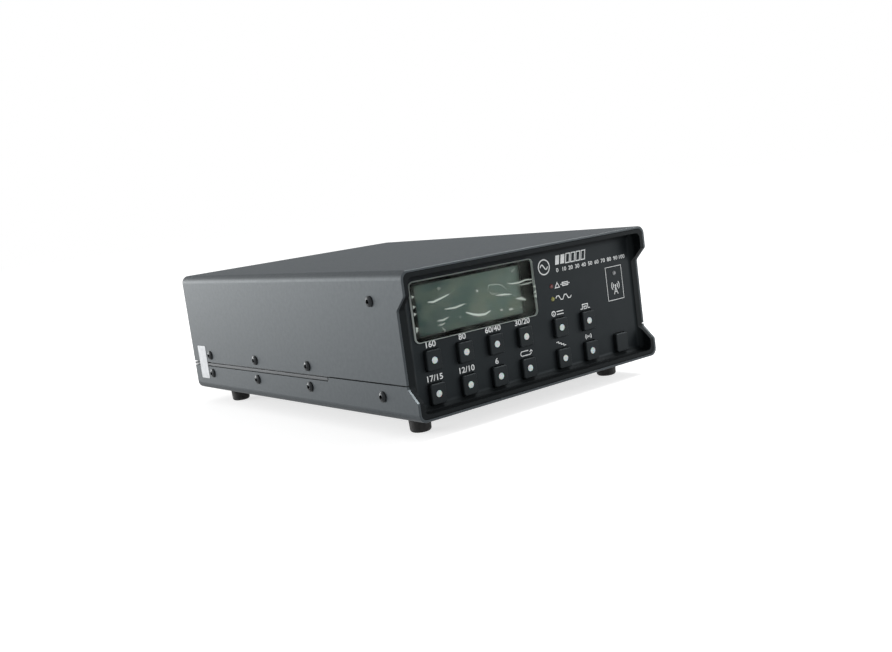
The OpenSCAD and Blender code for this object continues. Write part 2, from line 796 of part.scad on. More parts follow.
module heatsink() color("#34363a") at_case() difference() {
    union() {
        along_y(sink_from, panel_y - sink_from) heatsink_profile();
        side_strips(sink_from, panel_y, over);
        side_strips(sink_from, case_d, 0);
    }
    on_sides(sink_screws, inner_x - case_screw_l) cylinder(r = hole_r, h = case_screw_l + over);
    for (s = [-1, 1], z = panel_screws_z) facing_back(s * panel_screw_x, panel_y - case_screw_l, z)
        cylinder(r = hole_r, h = case_screw_l + over);
    board_holes(sink_top_z - board_screw_depth, hole_r, board_screw_depth + over);
    device_holes(sink_top_z - board_screw_depth, hole_r, board_screw_depth + over);
    facing_back(fan_x, panel_y - post_stud_l, post_z)
        cylinder(r = post_stud_r + play, h = post_stud_l + over);
}

// Runs a round hole through each corner of both inner boards
module board_holes(z, r, h) {
    for (s = [-1, 1], x = [-1, 1], y = [board_hole_inset, board_l - board_hole_inset])
        translate([s * board_centre_x + x * (inner_board_w / 2 - board_hole_inset), inner_board_y + y, z])
            cylinder(r = r, h = h);
}

module device_holes(z, r, h) {
    for (i = [-0.5, 0.5], x = [-1, 1])
        translate([-board_centre_x + x * (device_l / 2 - device_hole_inset), device_y + i * device_pitch, z])
            cylinder(r = r, h = h);
}

module inner_board(s) {
    difference() {
        translate([s * board_centre_x - inner_board_w / 2, inner_board_y, inner_board_z])
            cube([inner_board_w, board_l, board_t]);
        board_holes(inner_board_z - over, sheet_hole_r, board_t + 2 * over);
    }
}

module amplifier_board() color("#20502e") at_case() difference() {
    inner_board(-1);
    translate([-board_centre_x, device_y, inner_board_z])
        cube([device_l + 2 * device_window_gap, device_pitch + device_w + 2 * device_window_gap, 4 * over],
            center = true);
}

module filter_board() color("#20502e") at_case() inner_board(1);

// Two flanged devices bolted to the heatsink through the board's window
module power_transistors() color("#8f8a7a") at_case() difference() {
    for (i = [-0.5, 0.5]) translate([-board_centre_x, device_y + i * device_pitch, sink_top_z]) {
        translate([-device_l / 2, -device_w / 2, 0]) cube([device_l, device_w, device_t]);
        translate([-device_lid[0] / 2, -device_w / 2, device_t - fit]) cube([device_lid[0], device_w, device_lid[1]]);
    }
    device_holes(sink_top_z - over, sheet_hole_r, 4 * over);
}

// Two ferrite cores, each with a pair of bores for its windings
module transformers() color("#3a3a3d") at_case() for (c = cores) {
    size = core * c[0];
    translate([-board_centre_x, inner_board_y + c[1], inner_top_z + size.z / 2]) difference() {
        along_y(0, size.y) rounded_rect(size.x, size.z, size.z / 2 - core_soft);
        for (s = [-1, 1]) facing_back(s * size.x / 4, -over, 0) cylinder(r = size.z / 4, h = size.y + 2 * over);
    }
}

function band_y(i) = inner_board_y + board_l / 2 + (i - (band_count - 1) / 2) * band_pitch;

module filter_toroids() color("#b53a2a") at_case() for (i = [0:band_count - 1], x = [-0.5, 0.5])
    translate([board_centre_x + x * (2 * toroid_r + toroid_gap), band_y(i), inner_top_z + toroid_r])
        rotate([90, 0, 0]) difference() {
            cylinder(r = toroid_r, h = toroid_t, center = true);
            cylinder(r = toroid_hole_r, h = toroid_t + over, center = true);
        }

module filter_relays() color("#d8d5c8") at_case() for (i = [0:band_count - 1], s = [-1, 1])
    translate([board_centre_x + s * (2 * toroid_r + toroid_gap / 2 + relay_gap + relay_size.x / 2), band_y(i), inner_top_z])
        translate([-relay_size.x / 2, -relay_size.y / 2, 0]) cube(relay_size);

module supply_capacitors() color("#26282e") at_case() for (x = [-1, 1])
    translate([-board_centre_x + x * inner_board_w * can_places.x, inner_board_y + board_l * can_places.y, inner_top_z])
        difference() {
            cylinder(r = can_r, h = can_h);
            translate([0, 0, can_groove_z]) difference() {
                cylinder(r = can_r + over, h = can_groove_h);
                translate([0, 0, -over]) cylinder(r = can_r - can_groove, h = can_groove_h + 2 * over);
            }
        }

module board_spacers() color("#b8973f") at_case() difference() {
    board_holes(sink_top_z, spacer_r, spacer_h);
    board_holes(sink_top_z - over, sheet_hole_r, spacer_h + 2 * over);
}

// Flat cable between the control board and the amplifier board, with a plug at each end
module ribbon_cable() color("#8d9094") at_case() {
    y0 = board_back_y + header_size.z;
    y1 = inner_board_y + header_inset + header_size.y;
    z = inner_top_z + header_size.z + cable_t;
    arc = [for (i = [0:cable_steps]) [y0 + (y1 - y0) * i / cable_steps, z - cable_sag * sin(180 * i / cable_steps)]];
    translate([header_x, 0, 0]) {
        along_x(cable_w) polygon(concat(arc,
            [for (i = [cable_steps:-1:0]) arc[i] + [0, cable_t]]));
        translate([-header_size.x / 2, board_back_y, z + cable_t / 2 - header_size.y / 2])
            cube([header_size.x, header_size.z + play, header_size.y]);
        translate([-header_size.x / 2, inner_board_y + header_inset, inner_top_z])
            cube([header_size.x, header_size.y, header_size.z + cable_t + play]);
    }
}

module rear_panel() color("#2b2c2e") at_case() difference() {
    union() {
        along_y(panel_y, panel_t) translate([0, mid_z])
            rounded_rect(bezel_w, bezel_h, bezel_r);
        translate([-bezel_w / 2 + bend_r, panel_y - panel_lip, case_h - sheet_t - fit - panel_t])
            cube([bezel_w - 2 * bend_r, panel_lip + over, panel_t]);
    }
    for (s = [-1, 1]) translate([s * fan_x, 0, fan_z]) {
        along_y(panel_y - over, panel_t + 2 * over) fan_grille();
        for (x = [-1, 1], z = [-1, 1]) facing_back(x * fan_hole, panel_y - over, z * fan_hole)
            cylinder(r = sheet_hole_r, h = panel_t + 2 * over);
    }
    for (s = [-1, 1], z = panel_screws_z) facing_back(s * panel_screw_x, panel_y - over, z)
        cylinder(r = sheet_hole_r, h = panel_t + 2 * over);
    for (s = [-1, 1]) translate([s * socket_x, 0, socket_z]) {
        facing_back(0, panel_y - over, 0) cylinder(r = socket_tail_r + fit, h = panel_t + 2 * over);
        for (x = [-1, 1], z = [-1, 1]) facing_back(x * socket_hole, panel_y - over, z * socket_hole)
            cylinder(r = sheet_hole_r, h = panel_t + 2 * over);
    }
    translate([inlet_x, panel_y + panel_t / 2, inlet_z])
        cube([inlet_size.x + 2 * fit, panel_t + 2 * over, inlet_size.y + 2 * fit], center = true);
    for (x = jack_x) facing_back(x, panel_y - over, inlet_z) cylinder(r = jack_collar_r + fit, h = panel_t + 2 * over);
    facing_back(fan_x, panel_y - over, post_z) cylinder(r = post_stud_r + fit, h = panel_t + 2 * over);
}

// Ring slots over a fan, left whole along four spokes
module fan_grille() {
    difference() {
        for (r = [grille_step:grille_step:duct_r - grille_slot]) difference() {
            circle(r + grille_slot);
            circle(r);
        }
        for (a = [45, 135]) rotate(a) square([fan_size, grille_bar], center = true);
    }
}

module fan_frames() color("#232426") at_case() for (s = [-1, 1]) translate([s * fan_x, fan_y, fan_z]) {
    difference() {
        along_y(0, fan_depth) rounded_rect(fan_size, fan_size, fan_corner_r);
        along_y(-over, fan_depth + 2 * over) circle(duct_r);
        for (x = [-1, 1], z = [-1, 1]) facing_back(x * fan_hole, -over, z * fan_hole)
            cylinder(r = hole_r, h = fan_depth + 2 * over);
        difference() {
            along_y(fan_rim, fan_depth - 2 * fan_rim) square(fan_size + over, center = true);
            along_y(fan_rim - over, fan_depth - 2 * fan_rim + 2 * over) circle(duct_r + fan_wall);
        }
    }
    facing_back(0, 0, 0) difference() {
        union() {
            translate([0, 0, fan_depth - fan_rim]) cylinder(r = hub_r, h = fan_rim);
            translate([0, 0, hub_back]) cylinder(r = shaft_boss_r, h = fan_depth - hub_back - shaft_floor);
            for (a = [0, 90]) rotate([0, 0, a]) translate([0, 0, fan_depth - spoke / 2])
                cube([2 * duct_r + fan_wall, spoke, spoke], center = true);
        }
        cylinder(r = shaft_r + play, h = fan_depth - shaft_floor);
    }
}

// Cup with tilted blades round it and a shaft in its middle
module fan_rotor(s) color("#2c2d30") at_case() facing_back(s * fan_x, fan_y, fan_z) {
    difference() {
        union() {
            translate([0, 0, hub_rise]) cylinder(r = hub_r, h = hub_l);
            intersection() {
                for (i = [0:blade_count - 1]) rotate([0, 0, i * 360 / blade_count])
                    translate([duct_r / 2, 0, hub_rise + hub_l / 2]) rotate([blade_tilt, 0, 0])
                        cube([duct_r, blade_l, blade_t], center = true);
                translate([0, 0, hub_rise + blade_inset]) cylinder(r = blade_r, h = hub_l - 2 * blade_inset);
            }
        }
        translate([0, 0, hub_rise + hub_wall]) cylinder(r = hub_r - hub_wall, h = hub_l);
    }
    translate([0, 0, hub_rise + hub_wall / 2]) cylinder(r = shaft_r, h = fan_depth - fan_rim - hub_rise - hub_wall / 2);
}

module fan_rotor_left() fan_rotor(-1);
module fan_rotor_right() fan_rotor(1);

// Threaded coaxial sockets on square flanges, each with its centre contact
module antenna_sockets() color("#b9bcbe") at_case() for (s = [-1, 1]) translate([s * socket_x, 0, socket_z]) {
    difference() {
        union() {
            along_y(panel_out_y, socket_flange_t) rounded_rect(socket_flange, socket_flange, flange_corner_r);
            facing_back(0, panel_out_y, 0) cylinder(r = barrel_r, h = socket_flange_t + socket_l);
            facing_back(0, panel_y - socket_tail_l, 0)
                cylinder(r = socket_tail_r, h = panel_t + socket_tail_l + over);
        }
        facing_back(0, panel_y - socket_tail_l - over, 0) cylinder(r = insulator_r + play, h = insulator_l + 2 * over);
        facing_back(0, panel_y - socket_tail_l + insulator_l, 0) cylinder(r = mouth_r, h = mouth_l + over);
        for (x = [-1, 1], z = [-1, 1]) facing_back(x * socket_hole, panel_out_y - over, z * socket_hole)
            cylinder(r = sheet_hole_r, h = socket_flange_t + 2 * over);
    }
    facing_back(0, panel_y - socket_tail_l - contact_tail_l, 0) difference() {
        cylinder(r = contact_r, h = contact_tail_l + insulator_l);
        translate([0, 0, socket_tail_l]) cylinder(r = contact_bore_r, h = contact_tail_l + insulator_l);
    }
}

module socket_insulators() color("#eceae2") at_case() for (s = [-1, 1])
    facing_back(s * socket_x, panel_y - socket_tail_l, socket_z) difference() {
        cylinder(r = insulator_r, h = insulator_l);
        translate([0, 0, -over]) cylinder(r = contact_r + play, h = insulator_l + 2 * over);
    }

// Shrouded two-pin inlet
module power_inlet() color("#c9a227") at_case() translate([inlet_x, 0, inlet_z]) {
    difference() {
        union() {
            along_y(panel_y - inlet_tail_l, inlet_tail_l + panel_t + inlet_l)
                rounded_rect(inlet_size.x, inlet_size.y, inlet_corner_r);
            along_y(panel_out_y, inlet_flange_t)
                rounded_rect(inlet_size.x + 2 * inlet_flange.x, inlet_size.y + 2 * inlet_flange.y, inlet_corner_r);
        }
        along_y(panel_out_y + inlet_floor, inlet_l + over)
            rounded_rect(inlet_size.x - 2 * inlet_wall, inlet_size.y - 2 * inlet_wall, inlet_wall);
        for (s = [-1, 1]) facing_back(s * pin_x, panel_y - inlet_tail_l - over, 0)
            cylinder(r = pin_r + play, h = inlet_tail_l + panel_t + inlet_l + 2 * over);
    }
    for (s = [-1, 1]) facing_back(s * pin_x, panel_y - pin_tail_l, 0)
        cylinder(r = pin_r, h = pin_tail_l + panel_t + inlet_l - pin_sink);
}

module control_jacks() color("#303133") at_case() for (x = jack_x) difference() {
    union() {
        facing_back(x, panel_y - over, inlet_z) cylinder(r = jack_collar_r, h = panel_t + jack_collar_l + over);
        facing_back(x, panel_out_y, inlet_z) cylinder(r = jack_nut_r, h = jack_nut_t, $fn = 6);
        translate([x - jack_body.x / 2, panel_y - jack_body.y, inlet_z - jack_body.z / 2]) cube(jack_body);
    }
    facing_back(x, panel_y - jack_body.y + jack_floor, inlet_z)
        cylinder(r = jack_r, h = jack_body.y + panel_t + jack_collar_l);
}

// Stud with a washer and nut, and a wing nut on its free end
module ground_post() color("#b9bcbe") at_case() facing_back(fan_x, 0, post_z) {
    translate([0, 0, panel_y - post_stud_l + post_floor])
        cylinder(r = post_stud_r, h = post_stud_l - post_floor + panel_t + post_reach);
    translate([0, 0, panel_out_y]) difference() {
        union() {
            cylinder(r = post_washer_r, h = post_washer_t);
            translate([0, 0, post_washer_t / 2]) cylinder(r = post_nut_r, h = post_washer_t / 2 + post_nut_t, $fn = 6);
        }
        translate([0, 0, -over]) cylinder(r = post_stud_r + play, h = post_washer_t + post_nut_t + 2 * over);
    }
    translate([0, 0, panel_out_y + post_washer_t + post_nut_t + fit]) difference() {
        union() {
            cylinder(r1 = wing_r, r2 = wing_r - wing_taper, h = wing_l);
            for (a = [0, 180]) rotate([0, 0, a]) translate([wing_root_r, -wing_size.y / 2, wing_rise])
                rotate([0, -wing_tilt, 0]) cube(wing_size);
        }
        translate([0, 0, -over]) cylinder(r = post_stud_r + play, h = wing_l + wing_size.x + 2 * over);
    }
}

module foot_places() {
    for (s = [-1, 1], y = [foot_inset, case_d - foot_inset]) translate([s * (half_w - foot_side), y, 0]) children();
}

// Push-in feet: a round pad, a stem through the chassis and a barb above it
module rubber_feet() color("#2a2a2b") at_case() foot_places() rotate_extrude()
    polygon(soft_outline([
        [foot_bore_r, -foot_h + foot_bore_l, 0],
        [foot_bore_r, -foot_h, 0],
        [foot_d / 2 - foot_taper, -foot_h, foot_edge_r],
        [foot_d / 2, -foot_band, 0],
        [foot_d / 2, 0, 0],
        [foot_stem_r, 0, 0],
        [foot_stem_r, sheet_t + play, 0],
        [foot_barb_r, sheet_t + play, 0],
        [foot_barb_r - barb_taper, sheet_t + foot_barb_h, 0],
        [0, sheet_t + foot_barb_h, 0],
        [0, -foot_h + foot_bore_l, 0]]));

module case_screws() color("#151516") at_case() {
    on_sides(concat(cover_screws, chassis_screws), half_w) button_screw();
    for (s = [-1, 1], z = panel_screws_z) facing_back(s * panel_screw_x, panel_out_y, z) button_screw();
}

module panel_screws() color("#b9bcbe") at_case() {
    for (s = [-1, 1], x = [-1, 1], z = [-1, 1]) {
        facing_back(s * fan_x + x * fan_hole, panel_out_y, fan_z + z * fan_hole) pan_screw(fan_screw_l);
        facing_back(s * socket_x + x * socket_hole, panel_out_y + socket_flange_t, socket_z + z * socket_hole)
            pan_screw(board_screw_l);
    }
}

module board_screws() color("#b9bcbe") at_case() {
    for (p = post_places) facing_back(p.x, board_back_y, p.y) pan_screw(board_screw_l);
    for (s = [-1, 1], x = [-1, 1], y = [board_hole_inset, board_l - board_hole_inset])
        translate([s * board_centre_x + x * (inner_board_w / 2 - board_hole_inset), inner_board_y + y, inner_top_z])
            pan_screw(spacer_h + board_t + board_screw_depth - screw_floor);
    for (i = [-0.5, 0.5], x = [-1, 1])
        translate([-board_centre_x + x * (device_l / 2 - device_hole_inset), device_y + i * device_pitch,
            sink_top_z + device_t]) pan_screw(board_screw_depth);
}

top_cover();
lower_chassis();
front_bezel();
display_window();
display_frame();
display_glass();
control_board();
key_switches();
fault_lamp();
overdrive_lamp();
transmit_lamp();
lit_key(0);  // band_key_1
lit_key(1);  // band_key_2
lit_key(2);  // band_key_3
lit_key(3);  // band_key_4
lit_key(4);  // band_key_5
lit_key(5);  // band_key_6
lit_key(6);  // band_key_7
lit_key(7);  // auto_key
lit_key(8);  // info_key
lit_key(9);  // bypass_key
lit_key(10);  // attenuator_key
lit_key(11);  // wireless_key
power_key();
key_lens(0);  // band_lens_1
key_lens(1);  // band_lens_2
key_lens(2);  // band_lens_3
key_lens(3);  // band_lens_4
key_lens(4);  // band_lens_5
key_lens(5);  // band_lens_6
key_lens(6);  // band_lens_7
key_lens(7);  // auto_lens
key_lens(8);  // info_lens
key_lens(9);  // bypass_lens
key_lens(10);  // attenuator_lens
key_lens(11);  // wireless_lens
heatsink();
amplifier_board();
power_transistors();
transformers();
filter_board();
filter_toroids();
filter_relays();
supply_capacitors();
board_spacers();
ribbon_cable();
rear_panel();
fan_frames();
fan_rotor_left();
fan_rotor_right();
antenna_sockets();
socket_insulators();
power_inlet();
control_jacks();
ground_post();
rubber_feet();
case_screws();
panel_screws();
board_screws();
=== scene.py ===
"""Looks of a shortwave linear amplifier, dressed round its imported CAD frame.

Lengths are in metres. X is the viewer's right, Y runs from front to back and Z is up, and the feet
stand on z = 0.
"""

import json
import math

import bmesh
import bpy
from mathutils import Matrix, Vector
from mathutils.bvhtree import BVHTree


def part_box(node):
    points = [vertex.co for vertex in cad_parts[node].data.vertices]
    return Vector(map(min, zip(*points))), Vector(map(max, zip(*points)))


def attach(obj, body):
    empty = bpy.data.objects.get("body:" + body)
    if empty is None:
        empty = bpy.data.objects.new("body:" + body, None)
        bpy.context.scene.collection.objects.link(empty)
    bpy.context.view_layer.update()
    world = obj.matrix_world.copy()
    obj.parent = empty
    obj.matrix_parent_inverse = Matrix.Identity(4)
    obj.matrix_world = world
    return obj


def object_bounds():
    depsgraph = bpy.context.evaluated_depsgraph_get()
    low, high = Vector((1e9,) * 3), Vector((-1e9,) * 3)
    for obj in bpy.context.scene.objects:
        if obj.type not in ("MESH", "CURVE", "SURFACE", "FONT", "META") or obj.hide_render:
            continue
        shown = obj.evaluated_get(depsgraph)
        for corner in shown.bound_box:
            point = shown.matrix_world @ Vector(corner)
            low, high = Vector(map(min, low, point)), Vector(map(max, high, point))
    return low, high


MM = 0.001

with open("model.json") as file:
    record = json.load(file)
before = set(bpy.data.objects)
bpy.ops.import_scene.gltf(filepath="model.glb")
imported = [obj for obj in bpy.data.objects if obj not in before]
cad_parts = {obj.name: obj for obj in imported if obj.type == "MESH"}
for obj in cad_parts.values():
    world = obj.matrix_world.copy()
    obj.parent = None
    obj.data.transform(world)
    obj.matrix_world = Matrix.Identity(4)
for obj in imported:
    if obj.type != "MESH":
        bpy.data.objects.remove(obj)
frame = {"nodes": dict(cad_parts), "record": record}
cad_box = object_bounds()
nodes = frame["nodes"]


# Camera, at the photograph's viewpoint with its slight roll


CAMERA_PLACE = Vector((-0.32595, -0.48109, 0.10788))
CAMERA_FORWARD = Vector((0.59255, 0.79467, -0.13186))
CAMERA_UP = Vector((0.18424, 0.02565, 0.98255))
CAMERA_LENS = 42.9
CAMERA_SENSOR = 36
CAMERA_CLIP = (0.01, 50)


def make_camera():
    data = bpy.data.cameras.new("camera")
    data.lens = CAMERA_LENS
    data.sensor_width = CAMERA_SENSOR
    data.sensor_fit = "HORIZONTAL"
    data.clip_start, data.clip_end = CAMERA_CLIP
    camera = bpy.data.objects.new("camera", data)
    right = CAMERA_FORWARD.cross(CAMERA_UP).normalized()
    up = right.cross(CAMERA_FORWARD).normalized()
    turn = Matrix((right, up, -CAMERA_FORWARD.normalized())).transposed()
    camera.matrix_world = Matrix.Translation(CAMERA_PLACE) @ turn.to_4x4()
    bpy.context.scene.collection.objects.link(camera)
    bpy.context.scene.camera = camera


# Places on the case


FRONT = nodes["front_bezel"].data
FRONT_TREE = BVHTree.FromPolygons([v.co for v in FRONT.vertices], [p.vertices for p in FRONT.polygons])
AHEAD_Y = cad_box[0].y - 1 * MM


def face_y(x, z):
    """Where the moulded face lies behind a point of the front."""
    hit = FRONT_TREE.ray_cast(Vector((x, AHEAD_Y, z)), Vector((0, 1, 0)))
    return hit[0].y


def centre(node):
    low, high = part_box(node)
    return (low + high) / 2


BARE_BELOW_LAMP = 12 * MM
FACE_PLANE = face_y(centre("transmit_lamp").x, centre("fault_lamp").z - BARE_BELOW_LAMP)
CASE_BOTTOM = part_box("lower_chassis")[0].z


# Materials


BEVEL_SAMPLES = 4
EDGE_BLEND = 0.02 * MM
COOL_GLOSS = (0.80, 0.94, 1.0)


class Finish:
    """A procedural material: one Principled shader, with noise in the object's own space."""

    def __init__(self, name, **sockets):
        self.material = bpy.data.materials.new(name)
        self.material.use_nodes = True
        self.tree = self.material.node_tree
        self.shader = self.tree.nodes["Principled BSDF"]
        self.space = self.node("TexCoord").outputs["Object"]
        self.set(**sockets)

    def node(self, kind, feeds=None, **settings):
        made = self.tree.nodes.new("ShaderNode" + kind)
        for key, value in settings.items():
            setattr(made, key, value)
        for key, value in (feeds or {}).items():
            self.feed(made.inputs[key], value)
        return made

    def feed(self, socket, value):
        if isinstance(value, bpy.types.NodeSocket):
            self.tree.links.new(value, socket)
        elif socket.type == "RGBA":
            socket.default_value = (*value, 1)[:4]
        else:
            socket.default_value = value

    def set(self, **sockets):
        """Feeds the shader's sockets, written in small letters with underscores."""
        names = {s.name.lower().replace(" ", "_"): s for s in self.shader.inputs}
        for key, value in sockets.items():
            self.feed(names[key], value)

    def noise(self, size, detail=2, stretch=(1, 1, 1)):
        """Noise whose features are about size wide, longer along an axis whose stretch is under 1."""
        place = self.node("VectorMath", {0: self.space, 1: stretch}, operation="MULTIPLY").outputs[0]
        texture = self.node("TexNoise", {"Vector": place, "Scale": 1 / size, "Detail": detail})
        return texture.outputs[0]

    def ranged(self, value, low, high, start=0.35, end=0.65):
        """value from start to end, which suit a noise, as a number from low to high."""
        return self.node("MapRange", {0: value, 1: start, 2: end, 3: low, 4: high}).outputs[0]

    def blend(self, factor, first, second):
        return self.node("Mix", {0: factor, 6: first, 7: second}, data_type="RGBA").outputs[2]

    def math(self, operation, first, second=0.0):
        return self.node("Math", {0: first, 1: second}, operation=operation).outputs[0]

    def mottled(self, dark, light, size, detail=3):
        """Colour that wanders between two tones."""
        self.set(base_color=self.blend(self.ranged(self.noise(size, detail), 0, 1), dark, light))

    def rough(self, low, high, size):
        self.set(roughness=self.ranged(self.noise(size), low, high))

    def relief(self, height, depth, round_edges=0.0):
        """Bumps of a depth, over edges that are rounded to a radius for the light alone."""
        feeds = {"Height": height, "Distance": depth}
        if round_edges:
            feeds["Normal"] = self.node("Bevel", {"Radius": round_edges}, samples=BEVEL_SAMPLES).outputs[0]
        self.set(normal=self.node("Bump", feeds).outputs[0])

    def edges(self, radius):
        """1 along sharp edges and 0 away from them."""
        soft = self.node("Bevel", {"Radius": radius}, samples=BEVEL_SAMPLES).outputs[0]
        flat = self.node("NewGeometry").outputs["Normal"]
        likeness = self.node("VectorMath", {0: soft, 1: flat}, operation="DOT_PRODUCT").outputs["Value"]
        return self.ranged(likeness, 1, 0, 0.75, 0.97)

    def axis(self, vector, index):
        return self.node("SeparateXYZ", {0: vector}).outputs[index]

    def near_pair(self, middle, apart, radius):
        """1 within a radius of two lines along Y, each so far from the middle in X."""
        away = self.math("ABSOLUTE", self.math("SUBTRACT", self.axis(self.space, 0), middle.x))
        across = self.math("SUBTRACT", away, apart)
        upward = self.math("SUBTRACT", self.axis(self.space, 2), middle.z)
        across, upward = (self.math("MULTIPLY", side, side) for side in (across, upward))
        distance = self.math("SQRT", self.math("ADD", across, upward))
        return self.ranged(distance, 1, 0, radius, radius + EDGE_BLEND)


def case_paint():
    """Satin black coat, duller on top, smoother on the slanted cut edges of the front, and lighter at edges
    from paint wear and a painted edge highlight.
    """
    f = Finish("case_paint", specular_ior_level=0.36, specular_tint=COOL_GLOSS)
    body = f.blend(f.ranged(f.noise(2.5 * MM, 4), 0, 1), (0.024, 0.028, 0.032), (0.030, 0.034, 0.038))
    # Lighter grey along sharp edges: partly paint wear, partly a painted edge highlight.
    edge_wear_and_highlight = f.math("MULTIPLY", f.edges(0.25 * MM), f.ranged(f.noise(3 * MM, 4), 0, 0.35))
    f.set(base_color=f.blend(edge_wear_and_highlight, body, (0.09, 0.09, 0.094)))
    normal = f.node("NewGeometry").outputs["Normal"]
    ahead = f.ranged(f.axis(normal, 1), 0, 1, -0.55, -0.65)
    upward = f.ranged(f.axis(normal, 2), 0, 1, 0.55, 0.65)
    smooth_cut = f.math("MULTIPLY", f.math("MULTIPLY", ahead, upward), 0.33)
    dulled_top = f.ranged(f.axis(normal, 2), 0, 0.22, 0.8, 1)
    coat = f.math("ADD", f.ranged(f.noise(1.5 * MM), 0.53, 0.57), dulled_top)
    f.set(roughness=f.math("SUBTRACT", coat, smooth_cut))
    f.relief(f.noise(0.45 * MM, 2), 0.010 * MM, round_edges=0.15 * MM)
    return f


def moulding(name, dark, light, low, high):
    """Black moulded plastic with a fine grain."""
    f = Finish(name, specular_ior_level=0.12, specular_tint=COOL_GLOSS)
    f.mottled(dark, light, 14 * MM)
    f.rough(low, high, 5 * MM)
    f.relief(f.noise(0.22 * MM, 2), 0.01 * MM, round_edges=0.12 * MM)
    return f


def bezel_plastic():
    """Satin on the face, and duller on the rim round it, whose darker tone is painted shade."""
    f = moulding("bezel_plastic", (0.0060, 0.0078, 0.0090), (0.0080, 0.0098, 0.0112), 0.42, 0.52)
    on_face = f.ranged(f.axis(f.space, 1), 0, 1, FACE_PLANE - 0.4 * MM, FACE_PLANE - 0.1 * MM)
    tone = f.shader.inputs["Base Color"].links[0].from_socket
    # The rim and ears standing forward of the face take a near-black copy of the plastic: painted shade.
    f.set(base_color=f.blend(on_face, (0.0012, 0.0016, 0.0019), tone))
    f.set(roughness=f.ranged(on_face, 0.60, 0.46, 0, 1))
    return f


def key_plastic():
    return moulding("key_plastic", (0.0075, 0.0090, 0.0100), (0.0095, 0.0112, 0.0122), 0.36, 0.44)


def black_plastic():
    return moulding("black_plastic", (0.012, 0.012, 0.013), (0.018, 0.018, 0.019), 0.40, 0.55)


def key_light():
    f = Finish("key_light", subsurface_weight=0.5, subsurface_scale=0.6 * MM, specular_ior_level=0.4)
    f.mottled((0.52, 0.57, 0.57), (0.62, 0.67, 0.66), 0.8 * MM)
    f.rough(0.25, 0.4, 1 * MM)
    return f


def window_acrylic():
    """Clear on its flat faces, and frosted on its milled edge."""
    f = Finish("window_acrylic", ior=1.12, specular_ior_level=0.12)
    facing = f.math("ABSOLUTE", f.axis(f.node("NewGeometry").outputs["Normal"], 1))
    milled = f.ranged(facing, 1, 0, 0.85, 0.97)
    f.set(base_color=f.blend(milled, (0.93, 0.96, 0.95), (0.50, 0.56, 0.53)))
    f.set(transmission_weight=f.ranged(milled, 1, 0.15, 0, 1))
    f.set(roughness=f.ranged(milled, 0.02, 0.45, 0, 1))
    f.relief(f.noise(0.3 * MM, 3), 0.008 * MM)
    return f


DISPLAY_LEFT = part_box("display_glass")[0].x
DISPLAY_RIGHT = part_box("display_glass")[1].x
PIXEL = 0.48 * MM


def display_glass():
    """Unlit display: a grid of pixels over a field with painted light, lighter to the right and with a pale
    cloud that fades to the left.
    """
    f = Finish("display_glass", specular_ior_level=0.15, roughness=0.2)
    # The field's rise to the right and the pale cloud over it are painted light on the glass.
    painted_light_rightward = f.ranged(f.axis(f.space, 0), 0, 1, DISPLAY_LEFT, DISPLAY_RIGHT)
    field = f.blend(painted_light_rightward, (0.012, 0.034, 0.030), (0.102, 0.140, 0.120))
    cloud = f.ranged(f.noise(15 * MM, 3, (1, 1, 1.6)), 0, 0.85, 0.44, 0.60)
    cloud = f.math("MULTIPLY", cloud, f.ranged(painted_light_rightward, 0.35, 1, 0, 1))
    field = f.blend(cloud, field, (0.125, 0.145, 0.110))
    steps = [f.math("FRACT", f.math("MULTIPLY", f.axis(f.space, i), 1 / PIXEL)) for i in (0, 2)]
    gaps = f.math("MAXIMUM", *(f.ranged(step, 0, 1, 0.86, 0.9) for step in steps))
    f.set(base_color=f.blend(f.math("MULTIPLY", gaps, 0.25), field, (0.05, 0.07, 0.06)))
    return f


def plain_metal(name, dark, light, low, high, grain=(1, 1, 1), grain_size=0.5 * MM):
    f = Finish(name, metallic=1.0)
    f.mottled(dark, light, 8 * MM)
    f.rough(low, high, 2 * MM)
    f.relief(f.noise(grain_size, 3, grain), 0.01 * MM, round_edges=0.08 * MM)
    return f


def bright_metal():
    return plain_metal("bright_metal", (0.46, 0.47, 0.48), (0.56, 0.57, 0.58), 0.32, 0.42, (0.05, 1, 1))


SOCKET_APART = 13.2 * MM
SOCKET_CONTACT = 2.82 * MM


def nickel():
    """Nickel plate, with the sockets' centre contacts in gold."""
    f = plain_metal("nickel", (0.52, 0.51, 0.49), (0.62, 0.61, 0.59), 0.18, 0.28)
    middle = Vector((0, 0, centre("antenna_sockets").z))
    plate = f.shader.inputs["Base Color"].links[0].from_socket
    f.set(base_color=f.blend(f.near_pair(middle, SOCKET_APART, SOCKET_CONTACT), plate, (0.75, 0.55, 0.22)))
    return f


def brass():
    return plain_metal("brass", (0.62, 0.44, 0.16), (0.72, 0.53, 0.22), 0.22, 0.32)


def bright_steel():
    return plain_metal("bright_steel", (0.48, 0.49, 0.50), (0.60, 0.61, 0.62), 0.25, 0.36)


def device_metal():
    return plain_metal("device_metal", (0.42, 0.39, 0.33), (0.52, 0.48, 0.41), 0.30, 0.42)


def black_steel():
    f = Finish("black_steel", specular_ior_level=0.25, specular_tint=(0.84, 0.95, 1.0))
    # Lighter along the head's edges: partly wear, partly a painted highlight.
    head_wear_and_highlight = f.math("MULTIPLY", f.edges(0.2 * MM), 0.5)
    tone = f.blend(f.ranged(f.noise(1.5 * MM), 0, 1), (0.007, 0.007, 0.008), (0.012, 0.012, 0.013))
    f.set(base_color=f.blend(head_wear_and_highlight, tone, (0.035, 0.035, 0.037)))
    f.rough(0.36, 0.44, 1 * MM)
    f.relief(f.noise(0.3 * MM), 0.01 * MM, round_edges=0.12 * MM)
    return f


